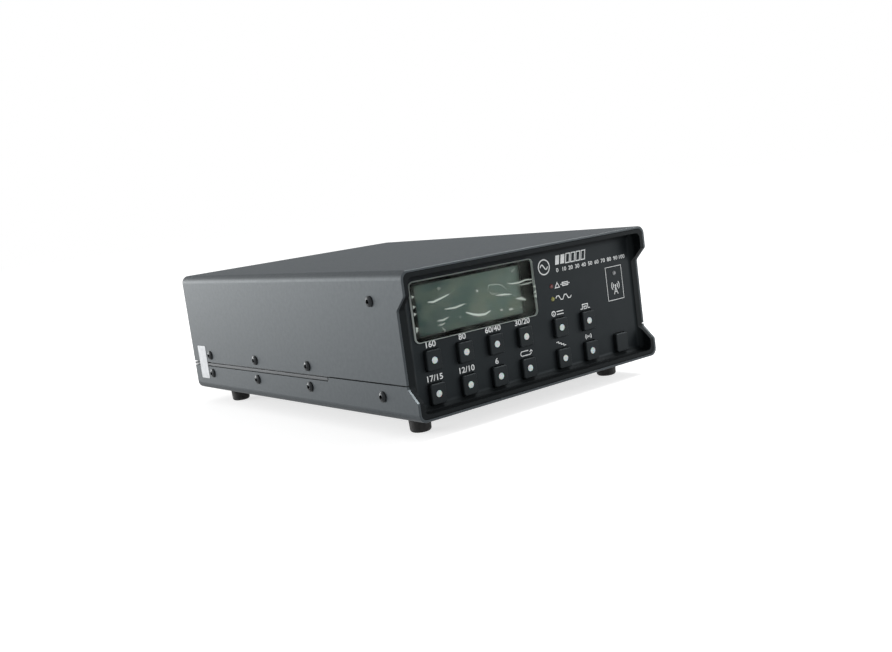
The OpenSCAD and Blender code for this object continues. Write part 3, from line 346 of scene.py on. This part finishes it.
def black_anodised():
    """Extruded along Y, so its fine die lines run that way."""
    f = Finish("black_anodised", specular_ior_level=0.4, specular_tint=(0.86, 0.95, 1.0))
    lines = f.noise(0.35 * MM, 3, (1, 0.01, 1))
    f.set(base_color=f.blend(f.ranged(lines, 0, 1), (0.018, 0.019, 0.021), (0.028, 0.029, 0.032)))
    f.rough(0.40, 0.48, 2 * MM)
    f.relief(lines, 0.02 * MM, round_edges=0.1 * MM)
    return f


def circuit_board():
    """Solder mask over copper tracks, with pads showing bare."""
    f = Finish("circuit_board", specular_ior_level=0.5, coat_weight=0.3, coat_roughness=0.15)
    cells = f.node("TexVoronoi", {"Vector": f.space, "Scale": 1 / (3.2 * MM)}, distance="CHEBYCHEV")
    track = f.ranged(cells.outputs["Distance"], 0, 1, 0.42, 0.46)
    pad = f.ranged(cells.outputs["Distance"], 1, 0, 0.09, 0.11)
    mask = f.blend(track, (0.014, 0.085, 0.040), (0.010, 0.052, 0.028))
    f.set(base_color=f.blend(pad, mask, (0.55, 0.50, 0.36)))
    f.set(roughness=f.ranged(pad, 0.35, 0.28, 0, 1))
    f.relief(track, -0.03 * MM)
    return f


def lamp_resin(name, dark, light):
    f = Finish(name, transmission_weight=0.25, ior=1.5)
    f.mottled(dark, light, 0.7 * MM)
    f.rough(0.15, 0.3, 0.8 * MM)
    return f


def red_lamp():
    return lamp_resin("red_lamp", (0.09, 0.008, 0.008), (0.15, 0.014, 0.013))


def yellow_lamp():
    return lamp_resin("yellow_lamp", (0.17, 0.17, 0.02), (0.28, 0.27, 0.04))


def clear_lamp():
    return lamp_resin("clear_lamp", (0.20, 0.21, 0.22), (0.32, 0.33, 0.34))


def ferrite():
    f = Finish("ferrite", specular_ior_level=0.5)
    f.mottled((0.020, 0.020, 0.021), (0.040, 0.040, 0.042), 1.2 * MM, 5)
    f.rough(0.45, 0.62, 1 * MM)
    f.relief(f.noise(0.4 * MM, 4), 0.03 * MM, round_edges=0.2 * MM)
    return f


def toroid_coat():
    f = Finish("toroid_coat", specular_ior_level=0.5, coat_weight=0.2)
    f.mottled((0.28, 0.030, 0.018), (0.40, 0.050, 0.030), 2 * MM)
    f.rough(0.35, 0.5, 1 * MM)
    f.relief(f.noise(0.5 * MM, 3), 0.03 * MM, round_edges=0.2 * MM)
    return f


def relay_case():
    f = Finish("relay_case", specular_ior_level=0.5)
    f.mottled((0.60, 0.58, 0.52), (0.68, 0.66, 0.60), 6 * MM)
    f.rough(0.30, 0.4, 3 * MM)
    f.relief(f.noise(0.3 * MM), 0.01 * MM, round_edges=0.2 * MM)
    return f


def capacitor_sleeve():
    """Dark sleeve with the pale band of its negative side."""
    f = Finish("capacitor_sleeve", specular_ior_level=0.5)
    facing = f.axis(f.node("NewGeometry").outputs["Normal"], 0)
    band = f.ranged(facing, 0, 1, 0.90, 0.92)
    tone = f.blend(f.ranged(f.noise(4 * MM), 0, 1), (0.016, 0.018, 0.030), (0.024, 0.026, 0.042))
    f.set(base_color=f.blend(band, tone, (0.45, 0.46, 0.48)))
    f.rough(0.22, 0.32, 2 * MM)
    f.relief(f.noise(1 * MM, 2, (1, 1, 0.3)), 0.02 * MM)
    return f


def cable_grey():
    """Flat cable: ribs along Y."""
    f = Finish("cable_grey", specular_ior_level=0.4)
    rib = f.math("SINE", f.math("MULTIPLY", f.axis(f.space, 0), math.tau / (1.27 * MM)))
    # Lighter on the rib crests and darker in the troughs between them: painted shade.
    f.set(base_color=f.blend(f.ranged(rib, 0, 1, -1, 1), (0.22, 0.23, 0.24), (0.33, 0.34, 0.36)))
    f.rough(0.4, 0.5, 4 * MM)
    f.relief(rib, 0.15 * MM)
    return f


def socket_white():
    f = Finish("socket_white", subsurface_weight=0.3, subsurface_scale=1 * MM)
    f.mottled((0.66, 0.65, 0.61), (0.74, 0.73, 0.69), 3 * MM)
    f.rough(0.35, 0.45, 2 * MM)
    return f


PIN_APART = 5.4 * MM
PIN_RADIUS = 2.21 * MM


def inlet_yellow():
    """Yellow moulding, with the two pins in gold plate."""
    f = Finish("inlet_yellow", specular_ior_level=0.5)
    pins = f.near_pair(centre("power_inlet"), PIN_APART, PIN_RADIUS)
    moulding_tone = f.blend(f.ranged(f.noise(5 * MM, 3), 0, 1), (0.56, 0.36, 0.03), (0.66, 0.44, 0.05))
    f.set(base_color=f.blend(pins, moulding_tone, (0.72, 0.53, 0.22)), metallic=pins)
    f.rough(0.35, 0.48, 2 * MM)
    f.relief(f.noise(0.3 * MM), 0.015 * MM, round_edges=0.15 * MM)
    return f


def rubber():
    f = Finish("rubber", specular_ior_level=0.3)
    f.mottled((0.011, 0.011, 0.011), (0.018, 0.018, 0.018), 2.5 * MM, 5)
    f.rough(0.55, 0.75, 1.5 * MM)
    f.relief(f.noise(0.5 * MM, 4), 0.03 * MM, round_edges=0.2 * MM)
    return f


SLOT_FINISHES = [
    case_paint, bezel_plastic, key_plastic, key_light, window_acrylic, display_glass, bright_metal,
    circuit_board, black_plastic, red_lamp, yellow_lamp, clear_lamp, black_anodised, device_metal,
    ferrite, toroid_coat, relay_case, capacitor_sleeve, brass, cable_grey, nickel, socket_white,
    inlet_yellow, rubber, black_steel, bright_steel,
]


def paint(piece, finish):
    if not piece.material_slots:
        piece.data.materials.append(None)
    for slot in piece.material_slots:
        slot.material = finish.material


def paint_nodes():
    finishes = {make.__name__: make() for make in SLOT_FINISHES}
    for row in frame["record"]["subparts"]:
        paint(nodes[row["node"]], finishes[row["material_slot"]])


# Mesh helpers


def mesh_data(name, mesh):
    made = bpy.data.meshes.new(name)
    mesh.to_mesh(made)
    mesh.free()
    return made


def new_piece(name, mesh, finish, body="case"):
    piece = bpy.data.objects.new(name, mesh)
    bpy.context.scene.collection.objects.link(piece)
    paint(piece, finish)
    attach(piece, body)
    return piece


# Print on the face


PRINT_DEPTH = 0.03 * MM
PRINT_SINK = 0.02 * MM
LABEL_HEIGHT = 2.7 * MM
LABEL_GAP = 1.0 * MM
LABEL_WIDEN = 1.13
FIGURE_BOLD = 0.015
# How far a key's box, which takes in the flange behind the face, reaches past the key itself
KEY_FLANGE = 0.9 * MM
LINE = 0.42 * MM
ARC_STEP = math.radians(15)
MITRE_LIMIT = 0.35


def arc(x, z, radius, start, end):
    """Points on an arc from one angle to another, in degrees from +X towards +Z."""
    start, end = math.radians(start), math.radians(end)
    steps = max(2, math.ceil(abs(end - start) / ARC_STEP))
    angles = [start + (end - start) * i / steps for i in range(steps + 1)]
    return [(x + radius * math.cos(a), z + radius * math.sin(a)) for a in angles]


def add_plate(mesh, front, back):
    """Adds a closed flat plate between two outlines with as many (x, y, z) points."""
    front, back = ([mesh.verts.new(point) for point in outline] for outline in (front, back))
    mesh.faces.new(front)
    mesh.faces.new(reversed(back))
    for i, corner in enumerate(front):
        j = (i + 1) % len(front)
        mesh.faces.new((corner, back[i], back[j], front[j]))


def stroke_outline(points, width, closed):
    """Both edges of a line of some width through points, with its corners mitred."""
    count = len(points)
    left, right = [], []
    for i, point in enumerate(points):
        here = Vector(point)
        before = Vector(points[i - 1]) if closed or i else None
        after = Vector(points[(i + 1) % count]) if closed or i < count - 1 else None
        ways = [(b - a).normalized() for a, b in ((before, here), (here, after)) if a and b]
        normals = [Vector((-w.y, w.x)) for w in ways]
        mitre = sum(normals, Vector((0, 0))).normalized()
        reach = width / 2 / max(MITRE_LIMIT, mitre.dot(normals[0]))
        left.append(here + mitre * reach)
        right.append(here - mitre * reach)
    return left, right


def add_stroke(mesh, points, y_front, y_back, width=LINE, closed=False):
    """Adds a flat line of some width through (x, z) points."""
    left, right = stroke_outline(points, width, closed)
    rows = [[mesh.verts.new((p.x, y, p.y)) for p in edge] for edge, y in
            ((left, y_front), (right, y_front), (right, y_back), (left, y_back))]
    count = len(points)
    for i in range(count if closed else count - 1):
        j = (i + 1) % count
        for a, b in zip(rows, rows[1:] + rows[:1]):
            mesh.faces.new((a[i], a[j], b[j], b[i]))
    if not closed:
        mesh.faces.new([row[0] for row in rows])
        mesh.faces.new([row[-1] for row in reversed(rows)])


def add_number(mesh, text, x, z, height, y_front, y_back):
    """Adds plain figures, centred on x with their feet at z."""
    curve = bpy.data.curves.new("figures", "FONT")
    curve.body = text
    curve.align_x = "CENTER"
    curve.resolution_u = 4
    curve.extrude = 0.5
    curve.offset = FIGURE_BOLD
    holder = bpy.data.objects.new("figures", curve)
    flat = bpy.data.meshes.new_from_object(holder)
    low = min(v.co.y for v in flat.vertices)
    scale = height / (max(v.co.y for v in flat.vertices) - low)
    for v in flat.vertices:
        along, up, deep = v.co
        v.co = (x + along * scale * LABEL_WIDEN, y_back if deep < 0 else y_front, z + (up - low) * scale)
    mesh.from_mesh(flat)
    bpy.data.objects.remove(holder)
    bpy.data.curves.remove(curve)
    bpy.data.meshes.remove(flat)


# Plain signs, each a list of strokes as (points, closed) round its own place, in millimetres


def waves(z, radii, spread):
    """Arcs that leave a point to the left and to the right."""
    return [(arc(0, z, radius, side - spread, side + spread), False) for radius in radii for side in (0, 180)]


def dot(z, radius):
    return arc(0, z, radius, 0, 330), True


def info_sign():
    """A stem with a dot in a ring, beside two lines."""
    ring = (arc(-2.6, 0, 1.15, 0, 345), True)
    stem = ([(-2.6, -0.65), (-2.6, 0.15)], False)
    point = ([(-2.6, 0.42), (-2.6, 0.72)], False)
    return [ring, stem, point] + [([(-0.6, z), (3.8, z)], False) for z in (-0.7, 0.7)]


def bypass_sign():
    """A line that steps over a box."""
    over = [(-3.2, -1), (-1.8, -1), (-1.8, 1.1), (1.8, 1.1), (1.8, -1), (3.2, -1)]
    box = [(-0.8, -1.1), (0.8, -1.1), (0.8, 0.1), (-0.8, 0.1)]
    return [(over, False), (box, True)]


def attenuator_sign():
    """Steps down to the right."""
    step, levels = 1.55, [1.1, 0.37, -0.37, -1.1]
    return [([(step * (i + side - 2), z) for i, z in enumerate(levels) for side in (0, 1)], False)]


def wireless_sign():
    return waves(0, (1.0, 1.9), 38) + [dot(0, 0.2)]


def auto_sign():
    """A loop that comes back round to an arrowhead."""
    turns = arc(-2.2, 0, 1.05, 105, 255), arc(2.2, 0, 1.05, 285, 360)
    loop = [(1.6, 1.05), (-2.2, 1.05), *turns[0], (2.2, -1.05), *turns[1]]
    return [(loop, False), ([(2.4, 0.1), (3.25, 0.95), (4.1, 0.1)], False)]


def warning_sign():
    """A triangle beside a fuse."""
    triangle = [(-5, -1.1), (-2.2, -1.1), (-3.6, 1.25)]
    fuse = [(-0.2, -0.75), (3.4, -0.75), (3.4, 0.75), (-0.2, 0.75)]
    return [(triangle, True), (fuse, True), ([(-1.4, 0), (4.6, 0)], False)]


def clipped_sign():
    """A wave whose crests are cut flat."""
    crests = [(-4.5, 1), (-3.2, 1), (-2, -1), (-0.7, -1), (0.5, 1), (1.8, 1), (3, -1), (4.3, -1)]
    return [([(-5.2, 0), *crests, (5, 0)], False)]


def aerial_sign():
    """A mast that sends to both sides."""
    mast = [([(-1.3, -3.2), (0, 0.2), (1.3, -3.2)], False), ([(-0.8, -1.9), (0.8, -1.9)], False)]
    return mast + waves(1.1, (1.5, 2.7), 42) + [dot(1.1, 0.35)]


def wave_sign():
    """One swing of a wave in a ring."""
    swing = [(-2.4 + 4.8 * i / 16, 1.2 * math.sin(math.tau * i / 16)) for i in range(17)]
    return [(arc(0, 0, 3.5, 0, 345), True), (swing, False)]


BAND_NUMBERS = ["160", "80", "60/40", "30/20", "17/15", "12/10", "6"]
KEY_SIGNS = {"auto_key": auto_sign, "info_key": info_sign, "bypass_key": bypass_sign,
             "attenuator_key": attenuator_sign, "wireless_key": wireless_sign}
WARNING_SIGN_SHIFT = 7.4 * MM
OVERDRIVE_SIGN_SHIFT = 7.2 * MM
BOX_WIDTH = 11.1 * MM
BOX_HEIGHT = 16.6 * MM
BOX_ABOVE_LAMP = 3.3 * MM
BOX_SHIFT = -0.35 * MM
BOX_LINE = 0.28 * MM
AERIAL_BELOW_LAMP = 7.4 * MM
# Places as x and the height above the case bottom
WAVE_PLACE = Vector((11.9, 54.5)) * MM
WAVE_LINE = 0.55 * MM
METER_START = Vector((19.2, 54.5)) * MM
METER_STEPS = 6
METER_LIT = 2
METER_STEP = 3.45 * MM
METER_SIZE = Vector((2.5, 4.3)) * MM
METER_SLANT = 0.9 * MM
METER_LINE = 0.5 * MM
SCALE_LEFT = 20.2 * MM
SCALE_RIGHT = 64.6 * MM
SCALE_HEIGHT = 50.9 * MM
SCALE_FIGURES = 1.95 * MM
SCALE_END = 100
SCALE_STEP = 10


def print_depths(x, z):
    """Front and back of the ink at a point of the face."""
    y = face_y(x, z)
    return y - PRINT_DEPTH, y + PRINT_SINK


def above_key(key):
    """Foot of the label over a key."""
    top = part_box(key)[1].z - KEY_FLANGE
    return centre(key).x, top + LABEL_GAP


def add_sign(mesh, strokes, x, z, width=LINE):
    for points, closed in strokes:
        placed = [(x + px * MM, z + pz * MM) for px, pz in points]
        add_stroke(mesh, placed, *print_depths(x, z), width, closed)


def add_key_labels(mesh):
    for i, text in enumerate(BAND_NUMBERS, 1):
        x, z = above_key(f"band_key_{i}")
        add_number(mesh, text, x, z, LABEL_HEIGHT, *print_depths(x, z + LABEL_HEIGHT / 2))
    for key, sign in KEY_SIGNS.items():
        x, z = above_key(key)
        add_sign(mesh, sign(), x, z + LABEL_HEIGHT / 2)


def add_lamp_signs(mesh):
    """Adds a sign for each lamp, with a frame round the transmit lamp and its sign."""
    warning, overdrive, lamp = (centre(n) for n in ("fault_lamp", "overdrive_lamp", "transmit_lamp"))
    add_sign(mesh, warning_sign(), warning.x + WARNING_SIGN_SHIFT, warning.z)
    add_sign(mesh, clipped_sign(), overdrive.x + OVERDRIVE_SIGN_SHIFT, overdrive.z)
    add_sign(mesh, aerial_sign(), lamp.x, lamp.z - AERIAL_BELOW_LAMP)
    top = lamp.z + BOX_ABOVE_LAMP
    low = top - BOX_HEIGHT
    left, right = (lamp.x + BOX_SHIFT + side * BOX_WIDTH / 2 for side in (-1, 1))
    corners = [(left, top), (right, top), (right, low), (left, low)]
    add_stroke(mesh, corners, *print_depths(lamp.x, top), BOX_LINE, True)


def add_meter(mesh):
    """Adds a ringed wave and the slanted steps of a level meter, the first of them filled."""
    add_sign(mesh, wave_sign(), WAVE_PLACE.x, CASE_BOTTOM + WAVE_PLACE.y, WAVE_LINE)
    low = CASE_BOTTOM + METER_START.y
    high = low + METER_SIZE.y
    for i in range(METER_STEPS):
        left = METER_START.x + i * METER_STEP
        right = left + METER_SIZE.x
        outline = [(left, low), (right, low), (right + METER_SLANT, high), (left + METER_SLANT, high)]
        depths = print_depths(left, low)
        if i < METER_LIT:
            add_plate(mesh, *([(x, y, z) for x, z in outline] for y in depths))
        else:
            add_stroke(mesh, outline, *depths, METER_LINE, True)


def add_scale(mesh):
    """Adds plain numbers from 0 to the scale's end under the meter."""
    level = CASE_BOTTOM + SCALE_HEIGHT
    for i in range(0, SCALE_END + 1, SCALE_STEP):
        x = SCALE_LEFT + (SCALE_RIGHT - SCALE_LEFT) * i / SCALE_END
        add_number(mesh, str(i), x, level, SCALE_FIGURES, *print_depths(x, level))


def print_ink():
    f = Finish("print_ink", specular_ior_level=0.3)
    f.mottled((0.64, 0.66, 0.66), (0.76, 0.78, 0.78), 1 * MM)
    f.rough(0.5, 0.65, 1 * MM)
    return f


def make_print():
    mesh = bmesh.new()
    for add in (add_key_labels, add_lamp_signs, add_meter, add_scale):
        add(mesh)
    bmesh.ops.recalc_face_normals(mesh, faces=mesh.faces)
    new_piece("panel_print", mesh_data("panel_print", mesh), print_ink())


# Wrinkled protective film over the display


FILM_STEP = 0.35 * MM
FILM_INSET = 0.55 * MM
FILM_CORNER = 2.6 * MM
FILM_THICK = 0.06 * MM
FILM_LIFT = 0.10 * MM
WRINKLE_HEIGHT = 0.30 * MM
# A wrinkle's width at its ends, as a share of its greatest, and how much wider it spreads at its foot
TAPER_END = 0.35
CREASE_SPREAD = 1.6
# Wrinkles as points of x and height above the case bottom, half width in millimetres, and lift from 0 to 1
WRINKLES = [
    ([(-58.4, 50.0), (-55.6, 49.6), (-51.0, 50.5), (-46.3, 51.6)], 0.42, 1.0),
    ([(-50.0, 45.4), (-43.9, 45.1), (-38.3, 45.9)], 0.42, 0.9),
    ([(-38.4, 42.0), (-34.8, 40.4), (-31.6, 39.5), (-27.7, 39.2), (-24.5, 40.2)], 0.55, 1.0),
    ([(-20.2, 46.5), (-15.7, 46.1), (-10.8, 45.5)], 0.40, 0.9),
    ([(-12.5, 50.8), (-9.8, 50.2), (-5.7, 50.0), (-1.4, 50.6), (4.0, 50.1)], 0.38, 0.9),
    ([(-5.8, 48.9), (-1.7, 48.7), (3.6, 49.0)], 0.30, 0.7),
    ([(-24.6, 49.4), (-23.4, 51.8), (-19.5, 51.6), (-16.1, 50.6), (-13.6, 48.2)], 0.30, 0.5),
    ([(-23.6, 48.8), (-22.3, 47.4), (-18.5, 47.2)], 0.30, 0.45),
    ([(-54.7, 41.1), (-51.5, 40.9), (-48.5, 41.6)], 0.42, 0.75),
    ([(-54.5, 39.1), (-52.4, 39.0), (-50.7, 39.4)], 0.36, 0.65),
    ([(-52.6, 37.9), (-51.2, 36.4), (-51.6, 35.4)], 0.36, 0.5),
    ([(-8.4, 43.1), (-5.1, 42.4), (-2.6, 41.5)], 0.70, 0.7),
    ([(-18.8, 39.4), (-17.0, 39.4)], 0.60, 0.65),
    ([(-13.6, 38.8), (-11.0, 38.7)], 0.60, 0.75),
    ([(-31.2, 50.3), (-30.0, 50.3)], 0.60, 0.7),
    ([(-52.6, 54.9), (-50.6, 54.9)], 0.70, 0.35),
    ([(-9.5, 55.6), (-7.0, 56.6)], 0.45, 0.4),
    ([(-42.4, 40.6), (-41.4, 40.4)], 0.50, 0.35),
    ([(-6.6, 38.6), (-5.2, 38.4)], 0.60, 0.35),
]
# Teeth of lifted film along its left and right edges, as the height of each tip
LEFT_TEETH = [53.6, 49.2, 46.0, 39.8, 38.8]
RIGHT_TEETH = [46.8, 44.2, 42.2]
TOOTH_REACH = 1.7 * MM
TOOTH_HALF = 0.9 * MM
TOOTH_LIFT = 0.75


def film_finish():
    """Clear film, lighter and more opaque where it is creased and lifted: a painted reflection of the
    creases.
    """
    f = Finish("clear_film", specular_ior_level=0.2)
    lifted = f.node("Attribute", attribute_name="lifted").outputs["Fac"]
    haze = f.ranged(f.noise(14 * MM, 3), 0.0, 0.05, 0.4, 0.65)
    # Lighter, more opaque colour on creases and lifted teeth: painted reflection.
    f.set(base_color=f.blend(lifted, (0.36, 0.42, 0.36), (0.56, 0.63, 0.58)))
    f.set(alpha=f.math("MAXIMUM", haze, f.ranged(lifted, 0, 0.85, 0.08, 0.9)))
    f.rough(0.14, 0.25, 3 * MM)
    return f


def near_path(point, path):
    """Distance from a point to a line through points, and the share of the way along it."""
    best, share = 1e9, 0
    spans = len(path) - 1
    for i in range(spans):
        a, b = Vector(path[i]), Vector(path[i + 1])
        along = max(0, min(1, (point - a).dot(b - a) / (b - a).length_squared))
        distance = (point - a.lerp(b, along)).length
        if distance < best:
            best, share = distance, (i + along) / spans
    return best, share


def crease(point):
    """How far the wrinkles lift the film at a point in millimetres, from 0 to 1."""
    lifted = 0
    for path, half_width, lift in WRINKLES:
        distance, share = near_path(point, path)
        taper = half_width * (TAPER_END + (1 - TAPER_END) * math.sin(math.pi * share))
        lifted = max(lifted, lift * max(0, 1 - (distance / (taper * CREASE_SPREAD)) ** 2))
    return lifted


def tooth(inward, height, tips):
    """The lift inside a triangle that reaches in from the film's edge at one of the tips' heights."""
    room = TOOTH_HALF * (1 - inward / TOOTH_REACH)
    return TOOTH_LIFT * any(abs(height - tip * MM) < room for tip in tips)


def film_lift(x, z, low, high):
    """How far the film between two corners is lifted at a point, from 0 to 1."""
    height = z - CASE_BOTTOM
    teeth = tooth(x - low.x, height, LEFT_TEETH), tooth(high.x - x, height, RIGHT_TEETH)
    return max(crease(Vector((x, height)) / MM), *teeth)


def past_corner(side, level):
    """Whether a point so far inside two edges lies past the film's rounded corner."""
    if side >= FILM_CORNER or level >= FILM_CORNER:
        return False
    return math.hypot(FILM_CORNER - side, FILM_CORNER - level) > FILM_CORNER


def film_vertices(mesh, low, high, columns, rows):
    """Adds the film's vertices, keyed by column and row."""
    layer = mesh.verts.layers.float.new("lifted")
    grid = {}
    for i in range(columns + 1):
        for j in range(rows + 1):
            x = low.x + (high.x - low.x) * i / columns
            z = low.z + (high.z - low.z) * j / rows
            if past_corner(min(x - low.x, high.x - x), min(z - low.z, high.z - z)):
                continue
            lifted = film_lift(x, z, low, high)
            vertex = mesh.verts.new((x, low.y - FILM_LIFT - lifted * WRINKLE_HEIGHT, z))
            vertex[layer] = lifted
            grid[i, j] = vertex
    return grid


def film_mesh():
    inset = Vector((FILM_INSET, 0, FILM_INSET))
    low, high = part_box("display_window")
    low, high = low + inset, high - inset
    columns = round((high.x - low.x) / FILM_STEP)
    rows = round((high.z - low.z) / FILM_STEP)
    mesh = bmesh.new()
    grid = film_vertices(mesh, low, high, columns, rows)
    for i in range(columns):
        for j in range(rows):
            cell = (i, j), (i + 1, j), (i + 1, j + 1), (i, j + 1)
            corners = [grid[c] for c in cell if c in grid]
            if len(corners) > 2:
                mesh.faces.new(corners).smooth = True
    return mesh_data("display_film", mesh)


def make_film():
    piece = new_piece("display_film", film_mesh(), film_finish())
    solid = piece.modifiers.new("thickness", "SOLIDIFY")
    solid.thickness = FILM_THICK
    solid.offset = 0


# Blank seal across the seam of the left side


SEAL_Y = 92.5 * MM
SEAL_WIDTH = 10 * MM
SEAL_LOW = 6.8 * MM
SEAL_HIGH = 25.7 * MM
SEAL_THICK = 0.12 * MM
SEAL_CORNER = 0.8 * MM


def seal_paper():
    f = Finish("seal_paper", specular_ior_level=0.4)
    f.mottled((0.46, 0.48, 0.50), (0.56, 0.58, 0.60), 3 * MM, 4)
    f.rough(0.4, 0.6, 2 * MM)
    f.relief(f.noise(0.4 * MM, 4), 0.015 * MM)
    return f


def seal_outline():
    """The seal's outline with its rounded corners, as (y, z) points."""
    middle_z = CASE_BOTTOM + (SEAL_LOW + SEAL_HIGH) / 2
    half_y, half_z = SEAL_WIDTH / 2 - SEAL_CORNER, (SEAL_HIGH - SEAL_LOW) / 2 - SEAL_CORNER
    outline = []
    for turn, back, up in ((0, 1, 1), (90, -1, 1), (180, -1, -1), (270, 1, -1)):
        outline += arc(SEAL_Y + back * half_y, middle_z + up * half_z, SEAL_CORNER, turn, turn + 90)
    return outline


def make_seal():
    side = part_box("top_cover")[0].x
    mesh = bmesh.new()
    add_plate(mesh, *([(x, y, z) for y, z in seal_outline()] for x in (side - SEAL_THICK, side)))
    bmesh.ops.recalc_face_normals(mesh, faces=mesh.faces)
    new_piece("seal_label", mesh_data("seal_label", mesh), seal_paper())


# Floor, background and lights


FLOOR_SIZE = 8
WORLD_LEVEL = 0.55
FLOOR_GLOW = 0.68
FLOOR_COLOUR = (0.60, 0.60, 0.60)


def seen_rays(tree):
    """1 for rays that show the background: from the camera, off gloss and through glass."""
    path = tree.nodes.new("ShaderNodeLightPath")
    total = path.outputs["Is Camera Ray"]
    for name in ("Is Glossy Ray", "Is Transmission Ray"):
        both = tree.nodes.new("ShaderNodeMath")
        both.operation = "MAXIMUM"
        tree.links.new(total, both.inputs[0])
        tree.links.new(path.outputs[name], both.inputs[1])
        total = both.outputs[0]
    return total


def make_world():
    world = bpy.data.worlds.new("studio")
    world.use_nodes = True
    bpy.context.scene.world = world
    tree = world.node_tree
    background = tree.nodes["Background"]
    background.inputs["Color"].default_value = (1, 1, 1, 1)
    level = tree.nodes.new("ShaderNodeMapRange")
    level.inputs["To Min"].default_value = WORLD_LEVEL
    level.inputs["To Max"].default_value = 1
    tree.links.new(seen_rays(tree), level.inputs["Value"])
    tree.links.new(level.outputs[0], background.inputs["Strength"])


def floor_material():
    material = bpy.data.materials.new("floor")
    material.use_nodes = True
    tree = material.node_tree
    shader = tree.nodes["Principled BSDF"]
    shader.inputs["Base Color"].default_value = (*FLOOR_COLOUR, 1)
    shader.inputs["Roughness"].default_value = 0.9
    shader.inputs["Specular IOR Level"].default_value = 0
    shader.inputs["Emission Color"].default_value = (1, 1, 1, 1)
    glow = tree.nodes.new("ShaderNodeMath")
    glow.operation = "MULTIPLY"
    glow.inputs[1].default_value = FLOOR_GLOW
    tree.links.new(seen_rays(tree), glow.inputs[0])
    tree.links.new(glow.outputs[0], shader.inputs["Emission Strength"])
    return material


def make_floor():
    mesh = bmesh.new()
    bmesh.ops.create_grid(mesh, x_segments=1, y_segments=1, size=FLOOR_SIZE / 2)
    floor = bpy.data.objects.new("floor", mesh_data("floor", mesh))
    floor.data.materials.append(floor_material())
    bpy.context.scene.collection.objects.link(floor)


# Each lamp as its place, the point that it faces, its width, its height and its power
LAMPS = [
    ((0.62, -0.28, 0.86), (0, -0.05, 0.03), 0.5, 0.35, 7.0),
    ((-0.92, 1.25, 0.24), (-0.05, 0, 0.02), 1.6, 0.46, 26.0),
    ((1.05, -0.80, 0.28), (0.03, -0.1, 0.04), 0.6, 0.5, 6.5),
]


def make_lamps():
    for i, (place, target, width, height, power) in enumerate(LAMPS):
        data = bpy.data.lights.new(f"softbox_{i + 1}", "AREA")
        data.shape = "RECTANGLE"
        data.size = width
        data.size_y = height
        data.energy = power
        lamp = bpy.data.objects.new(data.name, data)
        lamp.location = place
        lamp.rotation_euler = (Vector(target) - Vector(place)).to_track_quat("-Z", "Y").to_euler()
        bpy.context.scene.collection.objects.link(lamp)


make_camera()
paint_nodes()
make_print()
make_film()
make_seal()
make_world()
make_floor()
make_lamps()
bpy.context.scene.view_settings.view_transform = "Standard"
